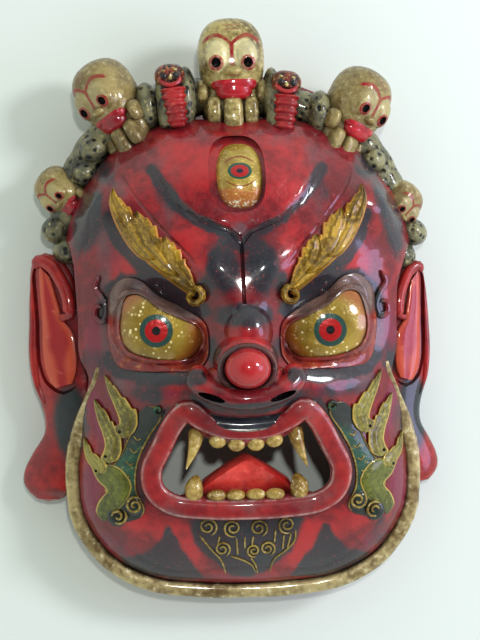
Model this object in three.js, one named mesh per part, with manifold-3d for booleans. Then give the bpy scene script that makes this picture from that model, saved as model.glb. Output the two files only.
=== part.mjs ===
// Carved and painted wooden dance mask of a wrathful three-eyed deity, lying face up.
// One block of wood, hollowed at the back: face, ears, beard rim and the crown of skulls and
// snakes are all carved in it. Millimetres; +X is the viewer's right, +Y the crown of the head
// and +Z comes out of the face. The back rim lies on z = 0.
import * as THREE from "three";
import { mergeVertices } from "three/addons/utils/BufferGeometryUtils.js";
import Module from "manifold-3d";

const wasm = await Module();
wasm.setup();

// Driving dimensions of the head
const HEAD_HALF_WIDTH = 152;
const CROWN_Y = 214;
const CHIN_Y = -240;
const MIDDLE_Y = -10;
const SIDE_HEIGHT = 36;
const FACE_RISE = 64;
const DOME_POWER = 0.62;
const WALL = 14;
const RIM_WALL = 15;
const HOLLOW_TOP = 78;
const NOSE_HOLLOW = { rx: 34, ry: 48, rise: 22 };
const CROWN_LEAN = 0.02;
const CROWN_START = 0.5;
const CROWN_LEDGE = 46;
const CROWN_EDGE_RISE = 26;
const JAW_EDGE_RISE = 4;
const LEDGE_HEIGHT = 30;

// Driving dimensions of the features
const EYE = { x: 69, y: -4, halfWidth: 35, halfHeight: 30, rise: 19, centreZ: 86 };
const LID_THICKNESS = 5;
const THIRD_EYE = { x: 0, y: 121, halfWidth: 19, halfHeight: 28, bulge: 7, recess: 6, gap: 4 };
const NOSE = { y: -48, halfWidth: 46, halfHeight: 19, ballRadius: 18, ballY: -38, tipZ: 166 };
const NOSTRIL = { x: 27, y: -59, halfLength: 13, halfHeight: 3, depth: 12 };
const LIP = { halfWidth: 8, halfHeight: 8 };
const TOOTH = { halfWidth: 7, halfHeight: 6, halfDepth: 5 };
const FANG = { length: 24, radius: 6 };
const LOWER_FANG = { length: 18, radius: 6 };
const BEARD_RIM = { width: 13, rise: 5 };
const BEARD_TOP_Y = -44;
const BEARD_TAPER = 60;
const GROOVE_END_Y = 13;
const BROW = { width: 19, flames: 8, flameLength: 7, rise: 7 };
const FURROW = { halfWidth: 2.6, depth: 4 };
const WHISKER_RISE = 4;
const EAR = { thickness: 18, edgeZ: 26, slope: 0.35, conchaDepth: 7, foldRise: 5 };
const EAR_ROOT_X = HEAD_HALF_WIDTH - 10;
const EAR_REACH = HEAD_HALF_WIDTH + 32;
const EARS = [{ side: -1, out: EAR_REACH, lift: 3 }, { side: 1, out: EAR_REACH - 18, lift: -5 }];
const COIL_RADIUS = 15;
const SNAKE = { radius: 10.5, headRadius: 13 };
const SINK = 8;

const SIDES = [-1, 1];

// Curves and outlines

// A closed run of points as evenly spaced points of the smooth curve through them.
function smoothLoop(points, count) {
  const knots = points.map(([x, y]) => new THREE.Vector3(x, y, 0));
  const curve = new THREE.CatmullRomCurve3(knots, true, "centripetal");
  return curve.getSpacedPoints(count).slice(0, count).map((p) => new THREE.Vector2(p.x, p.y));
}

// A smooth curve through points, open or closed.
function smoothPath(points, closed = false) {
  const knots = points.map(([x, y, z]) => new THREE.Vector3(x, y, z));
  return new THREE.CatmullRomCurve3(knots, closed, "centripetal");
}

function mirrored(points, side) {
  return points.map(([x, y, ...rest]) => [x * side, y, ...rest]);
}

// Places on the face are given as shares of the head's half width and of its reach to the
// crown (up) or to the chin (down), so that all of them follow its driving dimensions.
function onHead([x, y, ...rest]) {
  return [x * HEAD_HALF_WIDTH, y > 0 ? y * CROWN_Y : -y * CHIN_Y, ...rest];
}

// Half of the head's outline at the back rim, from crown to chin.
const HEAD_HALF_OUTLINE = [
  [0, 1], [0.3, 0.97], [0.58, 0.88], [0.82, 0.71], [0.955, 0.49], [0.985, 0.27], [0.975, 0.04],
  [0.965, -0.19], [0.985, -0.4], [1, -0.58], [0.96, -0.735], [0.8, -0.88], [0.55, -0.967],
  [0.25, -0.995], [0, -1],
].map(onHead);

function wholeOutline(half) {
  const left = half.slice(1, -1).reverse().map(([x, y]) => [-x, y]);
  return [...half, ...left];
}

const OUTLINE_SAMPLES = 360;
const headOutline = smoothLoop(wholeOutline(HEAD_HALF_OUTLINE), OUTLINE_SAMPLES)
  .map((p) => ({ angle: Math.atan2(p.y - MIDDLE_Y, p.x), radius: Math.hypot(p.x, p.y - MIDDLE_Y) }))
  .sort((a, b) => a.angle - b.angle);

// How far the head reaches from its middle in one direction.
function headRadius(angle) {
  const after = headOutline.findIndex((p) => p.angle >= angle);
  const b = headOutline[after < 0 ? 0 : after];
  const a = headOutline[after <= 0 ? headOutline.length - 1 : after - 1];
  const span = Math.abs(b.angle - a.angle);
  if (span > Math.PI || span === 0) return b.radius;
  return a.radius + (b.radius - a.radius) * ((angle - a.angle) / span);
}

// Swells and hollows of the face: place and spread as shares of the head's sizes, and height.
// Each is on both sides unless x is 0.
const SWELLS = [
  { name: "forehead", x: 0, y: 0.551, rx: 0.513, ry: 0.206, rise: 21 },
  { name: "glabella", x: 0.158, y: 0.206, rx: 0.178, ry: 0.159, rise: 19 },
  { name: "brow", x: 0.434, y: 0.29, rx: 0.171, ry: 0.121, rise: 13 },
  { name: "brow end", x: 0.684, y: 0.458, rx: 0.197, ry: 0.121, rise: 12 },
  { name: "temple knob", x: 0.829, y: 0.43, rx: 0.132, ry: 0.112, rise: 10 },
  { name: "eye socket", x: 0.474, y: 0.009, rx: 0.25, ry: 0.131, rise: -12 },
  { name: "cheekbone", x: 0.487, y: -0.233, rx: 0.263, ry: 0.103, rise: 9 },
  { name: "bridge", x: 0, y: -0.025, rx: 0.178, ry: 0.159, rise: 20 },
  { name: "nose root", x: 0, y: -0.192, rx: 0.303, ry: 0.121, rise: 22 },
  { name: "muzzle", x: 0, y: -0.45, rx: 0.513, ry: 0.224, rise: 9 },
  { name: "chin", x: 0, y: -0.8, rx: 0.342, ry: 0.14, rise: 5 },
  { name: "jaw", x: 0.684, y: -0.708, rx: 0.237, ry: 0.187, rise: 6 },
].map(({ x, y, rx, ry, rise }) => {
  const [middleX, middleY] = onHead([x, y]);
  return { x: middleX, y: middleY, rx: rx * HEAD_HALF_WIDTH, ry: ry * CROWN_Y, rise };
});

function swellAt(swell, x, y) {
  const near = (cx) => (
    Math.exp(-(((x - cx) / swell.rx) ** 2) - ((y - swell.y) / swell.ry) ** 2)
  );
  return swell.rise * (swell.x === 0 ? near(0) : near(swell.x) + near(-swell.x));
}

// From 0 at the level of the temples to 1 at the top of the crown.
function crownShare(angle) {
  const climb = Math.PI / 2 - Math.abs(Math.PI / 2 - angle);
  return Math.min(1, Math.max(0, (climb - CROWN_START) / (Math.PI / 2 - CROWN_START)));
}

// From 0 below the ears to 1 along the jaw, where the beard rim has its full width.
function jawShare(angle) {
  const below = MIDDLE_Y + headRadius(angle) * Math.sin(angle);
  return Math.min(1, Math.max(0, (BEARD_TOP_Y - below) / BEARD_TAPER));
}

// The face is one rounded mass that ends at a ledge: the crown's above, the beard rim's below.
function faceRadius(angle) {
  const ledge = CROWN_LEDGE * crownShare(angle) + BEARD_RIM.width * jawShare(angle);
  return headRadius(angle) - ledge;
}

function edgeHeight(angle) {
  return SIDE_HEIGHT + CROWN_EDGE_RISE * crownShare(angle) + JAW_EDGE_RISE * jawShare(angle);
}

// The carved surface's height over the back rim, before the features stand on it.
function faceHeight(x, y) {
  const angle = Math.atan2(y - MIDDLE_Y, x);
  const share = Math.hypot(x, y - MIDDLE_Y) / faceRadius(angle);
  const edge = edgeHeight(angle);
  const dome = Math.max(0, 1 - share * share) ** DOME_POWER;
  const fade = Math.min(1, dome * 3);
  const swells = SWELLS.reduce((sum, swell) => sum + swellAt(swell, x, y), 0);
  return edge + (SIDE_HEIGHT + FACE_RISE - edge) * dome + swells * fade;
}

// Solids

// A closed three.js geometry as a solid: shared corners merged and collapsed faces dropped.
function solid(geometry) {
  const bare = geometry.clone();
  bare.deleteAttribute("normal");
  bare.deleteAttribute("uv");
  const merged = mergeVertices(bare, 1e-3);
  const faces = [];
  for (let i = 0; i < merged.index.count; i += 3) {
    const [a, b, c] = [0, 1, 2].map((k) => merged.index.getX(i + k));
    if (a !== b && b !== c && a !== c) faces.push(a, b, c);
  }
  return new wasm.Manifold(new wasm.Mesh({
    numProp: 3,
    vertProperties: merged.attributes.position.array,
    triVerts: new Uint32Array(faces),
  }));
}

// Every corner of a geometry moved by a function of its place.
function reshape(geometry, move) {
  const place = geometry.attributes.position;
  const p = new THREE.Vector3();
  for (let i = 0; i < place.count; i += 1) {
    p.fromBufferAttribute(place, i);
    move(p);
    place.setXYZ(i, p.x, p.y, p.z);
  }
  return geometry;
}

function ball(centre, radii, across, rings, turn = 0) {
  return solid(new THREE.SphereGeometry(1, across, rings).rotateX(Math.PI / 2)
    .scale(...radii).rotateZ(turn).translate(...centre));
}

// A tube of oval section along a smooth path; grow(point) scales the section there.
function tube(path, halfWidth, halfHeight, { steps, sides, grow = () => 1 }) {
  const up = new THREE.Vector3(0, 0, 1);
  const rings = Array.from({ length: steps + 1 }, (_, i) => {
    const t = path.closed ? (i % steps) / steps : i / steps;
    const along = path.getTangentAt(t);
    const side = new THREE.Vector3().crossVectors(along, up).normalize();
    const lift = new THREE.Vector3().crossVectors(side, along).normalize();
    const at = path.getPointAt(t);
    return { at, side, lift, size: grow(at, t) };
  });
  const roll = new THREE.CylinderGeometry(1, 1, 1, sides, steps, path.closed);
  return solid(reshape(roll, (p) => {
    const { at, side, lift, size } = rings[Math.round((p.y + 0.5) * steps)];
    const across = p.x * halfWidth * size;
    const over = p.z * halfHeight * size;
    p.copy(at).addScaledVector(side, across).addScaledVector(lift, over);
  }));
}

// A flat outline laid on the face as low relief: rise above the surface, sunk below it.
function relief(outline, rise, sink = SINK) {
  const plate = new THREE.ExtrudeGeometry(new THREE.Shape(outline),
    { depth: 1, bevelEnabled: false });
  return solid(reshape(plate, (p) => {
    p.z = faceHeight(p.x, p.y) + (p.z > 0.5 ? rise : -sink);
  }));
}

function joined(solids) {
  return wasm.Manifold.union(solids);
}

// Head: the blank with its hollow, side wall and beard rim

// A round-topped body over z = base: top(x, y) is its height out to radius(angle), and a ledge
// runs from there to outer(angle).
function dome({ radius, outer = radius, top, ledge = 0, base, across, rings }) {
  const profile = [new THREE.Vector2(0, 0), new THREE.Vector2(1, 0), new THREE.Vector2(1, 1)];
  if (ledge) profile.push(new THREE.Vector2(1, 2));
  for (let i = 0; i <= rings; i += 1) {
    profile.push(new THREE.Vector2(Math.cos((i / rings) * Math.PI / 2), 3));
  }
  profile[profile.length - 1].x = 0;
  const turned = new THREE.LatheGeometry(profile, across).rotateX(Math.PI / 2);
  return solid(reshape(turned, (p) => {
    const [angle, level] = [Math.atan2(p.y, p.x), Math.round(p.z)];
    const reach = (level < 2 ? outer : radius)(angle) * Math.hypot(p.x, p.y);
    p.set(reach * Math.cos(angle), MIDDLE_Y + reach * Math.sin(angle), 0);
    p.z = [base, ledge || top(p.x, p.y), ledge, top(p.x, p.y)][level];
  }));
}

function headBlank() {
  return dome({
    radius: faceRadius, outer: headRadius, top: faceHeight, ledge: LEDGE_HEIGHT, base: 0,
    across: 42, rings: 8,
  });
}

// The wearer's hollow: a smooth dome one wall inside the face's edge, deeper behind the nose.
function hollowRadius(angle) {
  return Math.min(headRadius(angle) - RIM_WALL, faceRadius(angle) - WALL / 2);
}

function hollowHeight(x, y) {
  const angle = Math.atan2(y - MIDDLE_Y, x);
  const edge = edgeHeight(angle) - WALL;
  const share = Math.hypot(x, y - MIDDLE_Y) / hollowRadius(angle);
  const round = Math.max(0, 1 - share * share) ** DOME_POWER;
  const nose = NOSE_HOLLOW.rise * Math.exp(-((x / NOSE_HOLLOW.rx) ** 2)
    - ((y - NOSE.y) / NOSE_HOLLOW.ry) ** 2);
  return edge + (HOLLOW_TOP - edge) * round + nose;
}

function hollow() {
  return dome({ radius: hollowRadius, top: hollowHeight, base: -5, across: 26, rings: 5 });
}

// The gilded rim of the beard: a roll along the jaw's edge that thins out below the ears.
function beardRim() {
  const inset = BEARD_RIM.width / 2;
  const from = Math.atan2(BEARD_TOP_Y - MIDDLE_Y, HEAD_HALF_WIDTH);
  const sweep = -Math.PI - 2 * from;
  const points = Array.from({ length: 19 }, (_, i) => {
    const angle = from + (sweep * i) / 18;
    const reach = headRadius(angle) - inset;
    const [x, y] = [reach * Math.cos(angle), MIDDLE_Y + reach * Math.sin(angle)];
    return [x, y, SIDE_HEIGHT];
  });
  const grow = (_, t) => Math.min(1, 0.15 + 5 * Math.min(t, 1 - t));
  return tube(smoothPath(points), inset, BEARD_RIM.rise + 4, { steps: 18, sides: 4, grow });
}

// Forehead: third eye in its recess, and the carved furrow over the brows

function oval(centre, halfWidth, halfHeight, count, squareness = 0.8) {
  return Array.from({ length: count }, (_, i) => {
    const angle = (2 * Math.PI * i) / count;
    const bend = (value) => Math.sign(value) * Math.abs(value) ** squareness;
    return new THREE.Vector2(
      centre[0] + halfWidth * bend(Math.cos(angle)),
      centre[1] + halfHeight * bend(Math.sin(angle)),
    );
  });
}

function thirdEyeRecess() {
  const { x, y, halfWidth, halfHeight, gap, recess } = THIRD_EYE;
  return relief(oval([x, y], halfWidth + gap, halfHeight + gap, 12), 30, recess);
}

function thirdEye() {
  const { x, y, halfWidth, halfHeight, bulge, recess } = THIRD_EYE;
  const centre = [x, y, faceHeight(x, y) - recess];
  return ball(centre, [halfWidth, halfHeight, bulge], 12, 8);
}

const FURROW_HALF = [
  [0.461, 0.598], [0.375, 0.5], [0.25, 0.425], [0.105, 0.383], [0, 0.322],
].map(onHead);

function onFace(points, lift) {
  return points.map(([x, y]) => [x, y, faceHeight(x, y) + lift]);
}

function furrows() {
  const size = [FURROW.halfWidth, FURROW.depth];
  const arcs = SIDES.map((side) => {
    const path = smoothPath(onFace(mirrored(FURROW_HALF, side), 0.5));
    return tube(path, ...size, { steps: 4, sides: 3, grow: (_, t) => 0.35 + 0.65 * t });
  });
  const top = FURROW_HALF[FURROW_HALF.length - 1][1] + FURROW.halfWidth;
  const groove = smoothPath(onFace([[0, top], [0, (top + GROOVE_END_Y) / 2], [0, GROOVE_END_Y]], 0.5));
  return [...arcs, tube(groove, ...size, { steps: 3, sides: 3 })];
}

// Eyes, brows and the small curls at the temples

// The rim of the lids, as shares of the eye's half sizes from its middle.
const LID_HALF = [
  [-1.057, -0.3], [-0.743, 0.3], [-0.314, 0.8], [0.229, 1.167], [0.743, 1.2], [1.029, 0.733],
  [1.086, 0.033], [0.914, -0.667], [0.429, -1.033], [-0.229, -1.133], [-0.8, -0.9],
].map(([x, y]) => [EYE.x + x * EYE.halfWidth, EYE.y + y * EYE.halfHeight]);

function eye(side) {
  const { x, y, halfWidth, halfHeight, rise, centreZ } = EYE;
  const globe = ball([side * x, y, centreZ], [halfWidth, halfHeight, rise], 12, 6, side * 0.2);
  const lid = tube(smoothPath(onFace(mirrored(LID_HALF, side), 3), true),
    LID_THICKNESS, LID_THICKNESS, { steps: 14, sides: 4 });
  return [globe, lid];
}

const BROW_HALF = [
  [0.711, 0.528], [0.625, 0.407], [0.526, 0.308], [0.428, 0.234], [0.329, 0.15], [0.23, 0.084],
].map(onHead);

// A leaf of flames: smooth along one edge, with leaning points along the other, each longer
// towards the middle of the leaf.
function flameBand(points, width, flames, length, lower) {
  const path = smoothPath(points.map(([x, y]) => [x, y, 0]));
  const edge = (t, offset, slide = 0) => {
    const at = path.getPointAt(Math.min(1, Math.max(0, t + slide)));
    const along = path.getTangentAt(t);
    return new THREE.Vector2(at.x - along.y * offset * lower, at.y + along.x * offset * lower);
  };
  const swell = (t) => Math.sin(Math.PI * Math.min(1, 0.12 + 0.8 * t)) ** 0.6;
  const smooth = Array.from({ length: 5 }, (_, i) => edge(i / 4, (-width / 2) * swell(i / 4)));
  const tips = [];
  for (let i = flames; i > 0; i -= 1) {
    const t = (i - 0.5) / flames;
    tips.push(edge(i / flames, (width / 2) * swell(i / flames) * 0.6));
    tips.push(edge(t, (width / 2) * swell(t) + length * 0.5, -0.5 / flames));
  }
  return [...smooth, ...tips];
}

function brow(side) {
  const outline = flameBand(mirrored(BROW_HALF, side), BROW.width, BROW.flames,
    BROW.flameLength, -side);
  const curl = onHead([side * 0.224, 0.079]);
  return [
    relief(outline, BROW.rise),
    ball([...curl, faceHeight(...curl)], [8, 9, BROW.rise + 2], 6, 4),
  ];
}

function templeCurl(side) {
  const at = onHead([side * 0.757, 0.098]);
  return ball([...at, faceHeight(...at) - 2], [5, 13, 7], 6, 4, side * 0.15);
}

// Nose with its round tip, wings and blind nostrils

function nose() {
  const { y, halfWidth, halfHeight, ballRadius, ballY, tipZ } = NOSE;
  const deep = tipZ - ballRadius * 0.9;
  return [
    ball([0, ballY + 22, deep - 34], [24, 30, 24], 8, 5),
    ball([0, y, deep - 28], [halfWidth * 0.75, halfHeight, 28], 10, 5),
    ball([0, ballY, deep], [ballRadius * 1.05, ballRadius * 0.85, ballRadius], 10, 7),
    ...SIDES.map((side) => ball([side * (halfWidth - 15), y - 2, deep - 30], [16, 14, 20], 7, 4)),
  ];
}

function nostrils() {
  const { x, y, halfLength, halfHeight, depth } = NOSTRIL;
  const z = NOSE.tipZ - NOSE.ballRadius - 12;
  return SIDES.map((side) => (
    ball([side * x, y, z], [halfLength, halfHeight, depth], 6, 4, side * 0.3)
  ));
}

// Mouth: a cut right through the wall, framed by the lips, with gums, teeth, fangs and tongue

const LIP_HALF = [
  [0, -0.388], [0.132, -0.375], [0.237, -0.333], [0.316, -0.304], [0.388, -0.35],
  [0.461, -0.433], [0.513, -0.517], [0.493, -0.583], [0.408, -0.629], [0.224, -0.65], [0, -0.654],
].map(onHead);

function lipPoints() {
  return wholeOutline(LIP_HALF);
}

function mouthCut() {
  const outline = smoothLoop(lipPoints(), 24);
  const block = new THREE.ExtrudeGeometry(new THREE.Shape(outline),
    { depth: 200, bevelEnabled: false });
  return solid(block.translate(0, 0, -10));
}

function lips() {
  const thin = (at) => (at.y > -98 && Math.abs(at.x) < 40 ? 0.62 + 0.38 * (at.x / 40) ** 2 : 1);
  return tube(smoothPath(onFace(lipPoints(), 2), true), LIP.halfWidth, LIP.halfHeight,
    { steps: 22, sides: 5, grow: thin });
}

function moustacheBand() {
  const arc = [[-0.355, -0.296], [-0.211, -0.346], [0, -0.367], [0.211, -0.346], [0.355, -0.296]];
  return tube(smoothPath(onFace(arc.map(onHead), 0)), 7, 6, { steps: 6, sides: 4 });
}

// A pointed tooth from its root, leaning to its tip.
function fang(root, tip, radius) {
  const grow = (_, t) => 1 - 0.85 * t * t;
  return tube(smoothPath([root, tip]), radius, radius, { steps: 3, sides: 6, grow });
}

function upperTeeth() {
  const z = faceHeight(0, -100);
  const bite = [[-0.303, -0.342, z - 8], [-0.158, -0.388, z - 4], [0, -0.404, z - 3],
    [0.158, -0.388, z - 4], [0.303, -0.342, z - 8]];
  const gum = tube(smoothPath(bite.map(onHead)), 7, 9, { steps: 4, sides: 4 });
  const { halfWidth, halfHeight, halfDepth } = TOOTH;
  const incisors = [-2, -1, 1, 2].map((place) => {
    const x = (place - Math.sign(place) * 0.5) * 2.2 * halfWidth;
    return ball([x, -103, z - 1], [halfWidth, halfHeight, halfDepth], 5, 3);
  });
  const fangs = SIDES.map((side) => (
    fang([side * 40, -90, z - 8], [side * 47, -90 - FANG.length - 6, z - 3], FANG.radius)
  ));
  return [gum, ...incisors, ...fangs];
}

function lowerTeeth() {
  const z = faceHeight(...onHead([0, -0.625]));
  const bite = [[-0.368, -0.613, z - 8], [-0.184, -0.629, z - 4], [0, -0.633, z - 3],
    [0.184, -0.629, z - 4], [0.368, -0.613, z - 8]];
  const gum = tube(smoothPath(bite.map(onHead)), 7, 10, { steps: 4, sides: 4 });
  const row = [-2.5, -1.5, -0.5, 0.5, 1.5, 2.5].map((place) => (
    ball([place * 11.5, -145, z], [6, 6, 5], 5, 3)
  ));
  const stubs = SIDES.map((side) => (
    ball([side * 42, -137, z - 2], [LOWER_FANG.radius, LOWER_FANG.length / 2 + 2, 8], 5, 4,
      side * 0.25)
  ));
  return [gum, ...row, ...stubs];
}

// The tongue lies behind the lower teeth and rises to a ridge at its back.
function tongue() {
  const outline = [
    [-0.276, -0.625], [0.276, -0.625], [0.237, -0.571], [0.079, -0.496], [0, -0.471],
    [-0.079, -0.496], [-0.237, -0.571],
  ].map((p) => new THREE.Vector2(...onHead(p)));
  const z = faceHeight(...onHead([0, -0.625]));
  const block = new THREE.ExtrudeGeometry(new THREE.Shape(outline),
    { depth: 1, bevelEnabled: false });
  return solid(reshape(block, (p) => {
    p.z = z - 24 + 20 * p.z;
  }));
}

// Cheeks and chin: low relief of flame whiskers, leaf and scrolls

function whiskers(side) {
  const flames = [
    [[0.757, -0.175], [0.697, -0.258], [0.645, -0.325], [0.618, -0.383]],
    [[0.822, -0.258], [0.789, -0.342], [0.743, -0.408], [0.711, -0.467]],
    [[0.882, -0.392], [0.862, -0.467], [0.822, -0.525], [0.776, -0.567]],
  ];
  return [
    ...flames.map((points) => relief(
      flameBand(mirrored(points.map(onHead), side).reverse(), 15, 3, 5, side), WHISKER_RISE,
    )),
    ...[[0.704, -0.654], [0.599, -0.617]].map(onHead).map(([x, y]) => (
      ball([side * x, y, faceHeight(x, y)], [7, 7, WHISKER_RISE + 1], 6, 3)
    )),
  ];
}

function chinScrolls() {
  const plate = [
    [-0.283, -0.683], [0.283, -0.683], [0.224, -0.767], [0.145, -0.833], [0.105, -0.892],
    [0.066, -0.842], [0, -0.817], [-0.066, -0.842], [-0.105, -0.892], [-0.145, -0.833],
    [-0.224, -0.767],
  ].map((p) => new THREE.Vector2(...onHead(p)));
  const upper = [-0.217, -0.079, 0.066, 0.217].map((x) => onHead([x, -0.721]));
  const lower = [-0.132, 0.033, 0.112].map((x) => onHead([x, -0.804]));
  return [
    relief(plate, 1.5),
    ...[...upper, ...lower].map(([x, y]) => ball([x, y, faceHeight(x, y)], [7.5, 7.5, 4], 5, 3)),
  ];
}

// Ears with long lobes

function ear({ side, out, lift }) {
  const reach = (share) => EAR_ROOT_X + (out - EAR_ROOT_X) * share;
  const outline = [
    [reach(0.2), 52], [reach(0.7), 57], [reach(0.97), 30], [reach(0.98), -5], [reach(1), -36],
    [reach(0.72), -80], [reach(0.9), -112], [reach(1.22), -137], [reach(0.85), -155],
    [reach(0.3), -140], [reach(0.1), -100], [reach(-0.1), -50], [reach(-0.2), 10],
  ];
  const concha = [
    [reach(0.3), 38], [reach(0.72), 26], [reach(0.76), -20], [reach(0.62), -58], [reach(0.4), -62],
    [reach(0.3), -40], [reach(0.36), -10], [reach(0.16), 12],
  ];
  const fold = [
    [reach(0.36), 24], [reach(0.56), 8], [reach(0.6), -30], [reach(0.5), -52], [reach(0.44), -20],
    [reach(0.26), 10],
  ];
  const top = (x) => EAR.edgeZ + (out - Math.abs(x)) * EAR.slope;
  const plate = (points, count, low, high) => {
    const moved = mirrored(points, side).map(([x, y]) => [x, y + lift]);
    const slab = new THREE.ExtrudeGeometry(new THREE.Shape(smoothLoop(moved, count)),
      { depth: 1, bevelEnabled: false });
    return solid(reshape(slab, (p) => {
      p.z = top(p.x) + (p.z > 0.5 ? high : low);
    }));
  };
  return plate(outline, 22, -EAR.thickness, 0)
    .subtract(plate(concha, 12, -EAR.conchaDepth, 20))
    .add(plate(fold, 8, -EAR.thickness / 2, EAR.foldRise - EAR.conchaDepth));
}

// Crown: five skulls linked by coiled snakes

// A grinning skull, upright, its face towards +Z and its middle at the origin; fine sets facets.
function skull(fine) {
  const teeth = [-1.5, -0.5, 0.5, 1.5].map((place) => (
    ball([place * 9.5, -33, 12], [5.6, 16, 12], 4, 3)
  ));
  const whole = joined([
    ball([0, 13, 0], [29, 34, 30], 8 * fine, 5 * fine),
    ...SIDES.map((side) => ball([side * 13, 4, 18], [14, 13, 12], 5 * fine, 3 * fine)),
    ball([0, -7, 24], [6, 6, 12], 5, 3),
    ball([0, -17, 12], [22, 14, 18], 5 * fine, 3 * fine),
    ...teeth,
  ]);
  return SIDES.reduce((left, side) => (
    left.subtract(ball([side * 13, 3, 30], [5, 5, 12], 4, 3))
  ), whole);
}

const SKULLS = [
  { x: 0, y: 0.986, z: 50, size: 1, roll: 0, yaw: 0 },
  { x: -0.704, y: 0.879, z: 46, size: 0.86, roll: 0.49, yaw: -0.5 },
  { x: 0.711, y: 0.827, z: 46, size: 0.86, roll: -0.49, yaw: 0.5 },
  { x: -1, y: 0.523, z: 34, size: 0.64, roll: 0.85, yaw: -0.5 },
  { x: 0.928, y: 0.439, z: 34, size: 0.6, roll: -0.75, yaw: 0.5 },
];

function placedSkull({ x, y, z, size, roll, yaw }) {
  const place = new THREE.Matrix4()
    .makeTranslation(...onHead([x, y, z]))
    .multiply(new THREE.Matrix4().makeRotationZ(roll))
    .multiply(new THREE.Matrix4().makeRotationY(yaw))
    .scale(new THREE.Vector3(size, size, size));
  return skull(size > 0.9 ? 1.35 : 1).transform(place.elements);
}

// The thick snake body that runs round the crown under the skulls.
const CROWN_PATH = [
  [-0.98, 0.234, 22], [-0.974, 0.402, 27], [-0.908, 0.57, 32], [-0.737, 0.748, 38],
  [-0.461, 0.86, 42], [0, 0.916, 45], [0.461, 0.832, 42], [0.697, 0.729, 38], [0.862, 0.551, 32],
  [0.941, 0.364, 27], [0.941, 0.206, 22],
].map(onHead);

function crownBody() {
  return tube(smoothPath(CROWN_PATH), COIL_RADIUS, COIL_RADIUS, { steps: 14, sides: 5 });
}

const COILS = [
  { x: -0.48, y: 0.86, z: 50, rx: 11, ry: 21, turn: 0.1 },
  { x: 0.487, y: 0.822, z: 50, rx: 11, ry: 20, turn: -0.1 },
  { x: -0.263, y: 0.888, z: 52, rx: 10, ry: 28, turn: 0 },
  { x: 0.224, y: 0.888, z: 52, rx: 9, ry: 26, turn: 0 },
  { x: -0.796, y: 0.696, z: 42, rx: 14, ry: 12, turn: 0.6 },
  { x: 0.783, y: 0.631, z: 42, rx: 12, ry: 12, turn: -0.6 },
  { x: -0.855, y: 0.598, z: 38, rx: 13, ry: 11, turn: 0.9 },
  { x: 0.822, y: 0.547, z: 38, rx: 12, ry: 11, turn: -0.9 },
  { x: -1.026, y: 0.383, z: 28, rx: 14, ry: 12, turn: 0.4 },
  { x: 1.007, y: 0.346, z: 28, rx: 14, ry: 12, turn: -0.4 },
  { x: -0.961, y: 0.299, z: 28, rx: 15, ry: 13, turn: 0.4 },
  { x: 0.934, y: 0.252, z: 28, rx: 14, ry: 13, turn: -0.4 },
];

function coils() {
  return COILS.map(({ x, y, z, rx, ry, turn }) => (
    ball(onHead([x, y, z]), [rx, ry, COIL_RADIUS + 2], 6, 3, turn)
  ));
}

// A small snake that rears against the crown, its belly ringed and its blunt head up.
function rearingSnake({ x, y, z, lean }) {
  const profile = [new THREE.Vector2(0, 0)];
  for (let ring = 0; ring < 3; ring += 1) {
    profile.push(new THREE.Vector2(SNAKE.radius * 0.86, ring * 12));
    profile.push(new THREE.Vector2(SNAKE.radius, ring * 12 + 6));
  }
  profile.push(new THREE.Vector2(0, 36));
  const body = solid(new THREE.LatheGeometry(profile, 6).translate(0, -2, 0));
  const head = ball([0, 40, 1], [SNAKE.headRadius, 12, SNAKE.headRadius], 6, 4);
  const place = new THREE.Matrix4().makeTranslation(...onHead([x, y, z]))
    .multiply(new THREE.Matrix4().makeRotationZ(lean));
  return joined([body, head]).transform(place.elements);
}

function crown() {
  return [
    crownBody(),
    ...coils(),
    ...SKULLS.map(placedSkull),
    rearingSnake({ x: -0.322, y: 0.79, z: 64, lean: 0.1 }),
    rearingSnake({ x: 0.27, y: 0.757, z: 64, lean: -0.12 }),
  ];
}

// The whole carving

function carvedMask() {
  const face = headBlank().subtract(joined([thirdEyeRecess(), ...furrows()]));
  const raised = joined([
    face, beardRim(), thirdEye(), moustacheBand(), ...nose(), ...chinScrolls(),
    ...SIDES.flatMap((side) => [...eye(side), ...brow(side), templeCurl(side), ...whiskers(side)]),
    ...EARS.map(ear), ...crown(),
  ]);
  const open = raised.subtract(joined([hollow(), mouthCut(), ...nostrils()]));
  return joined([open, lips(), ...upperTeeth(), ...lowerTeeth(), tongue()]);
}

function toGeometry(made) {
  const { numProp, vertProperties, triVerts } = made.getMesh();
  const corners = new Float32Array((vertProperties.length / numProp) * 3);
  for (let i = 0; i < corners.length / 3; i += 1) {
    corners.set(vertProperties.subarray(i * numProp, i * numProp + 3), i * 3);
  }
  return new THREE.BufferGeometry()
    .setAttribute("position", new THREE.BufferAttribute(corners, 3))
    .setIndex(new THREE.BufferAttribute(triVerts, 1));
}

const lacqueredWood = new THREE.MeshStandardMaterial({
  color: 0x9c1420, roughness: 0.32, metalness: 0,
});

function mask() {
  const shape = reshape(toGeometry(carvedMask()), (p) => {
    p.x -= CROWN_LEAN * Math.max(0, p.y);
  });
  shape.computeBoundingBox();
  const middle = shape.boundingBox.getCenter(new THREE.Vector3());
  const mesh = new THREE.Mesh(shape, lacqueredWood);
  mesh.name = "mask";
  mesh.position.set(-middle.x, -middle.y, -shape.boundingBox.min.z);
  return mesh;
}

const carving = new THREE.Group();
carving.add(mask());

export default carving;
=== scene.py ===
"""A carved and painted wooden dance mask of a wrathful three-eyed deity, lying face up.

The mask is one block of wood, so it is one piece here. It is modelled in the millimetres of its
drawing (+X the viewer's right, +Y the crown, +Z out of the face) and set into the frame last.
"""
import math
import bpy
import bmesh
from mathutils import Matrix, Vector
from mathutils.bvhtree import BVHTree


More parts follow.
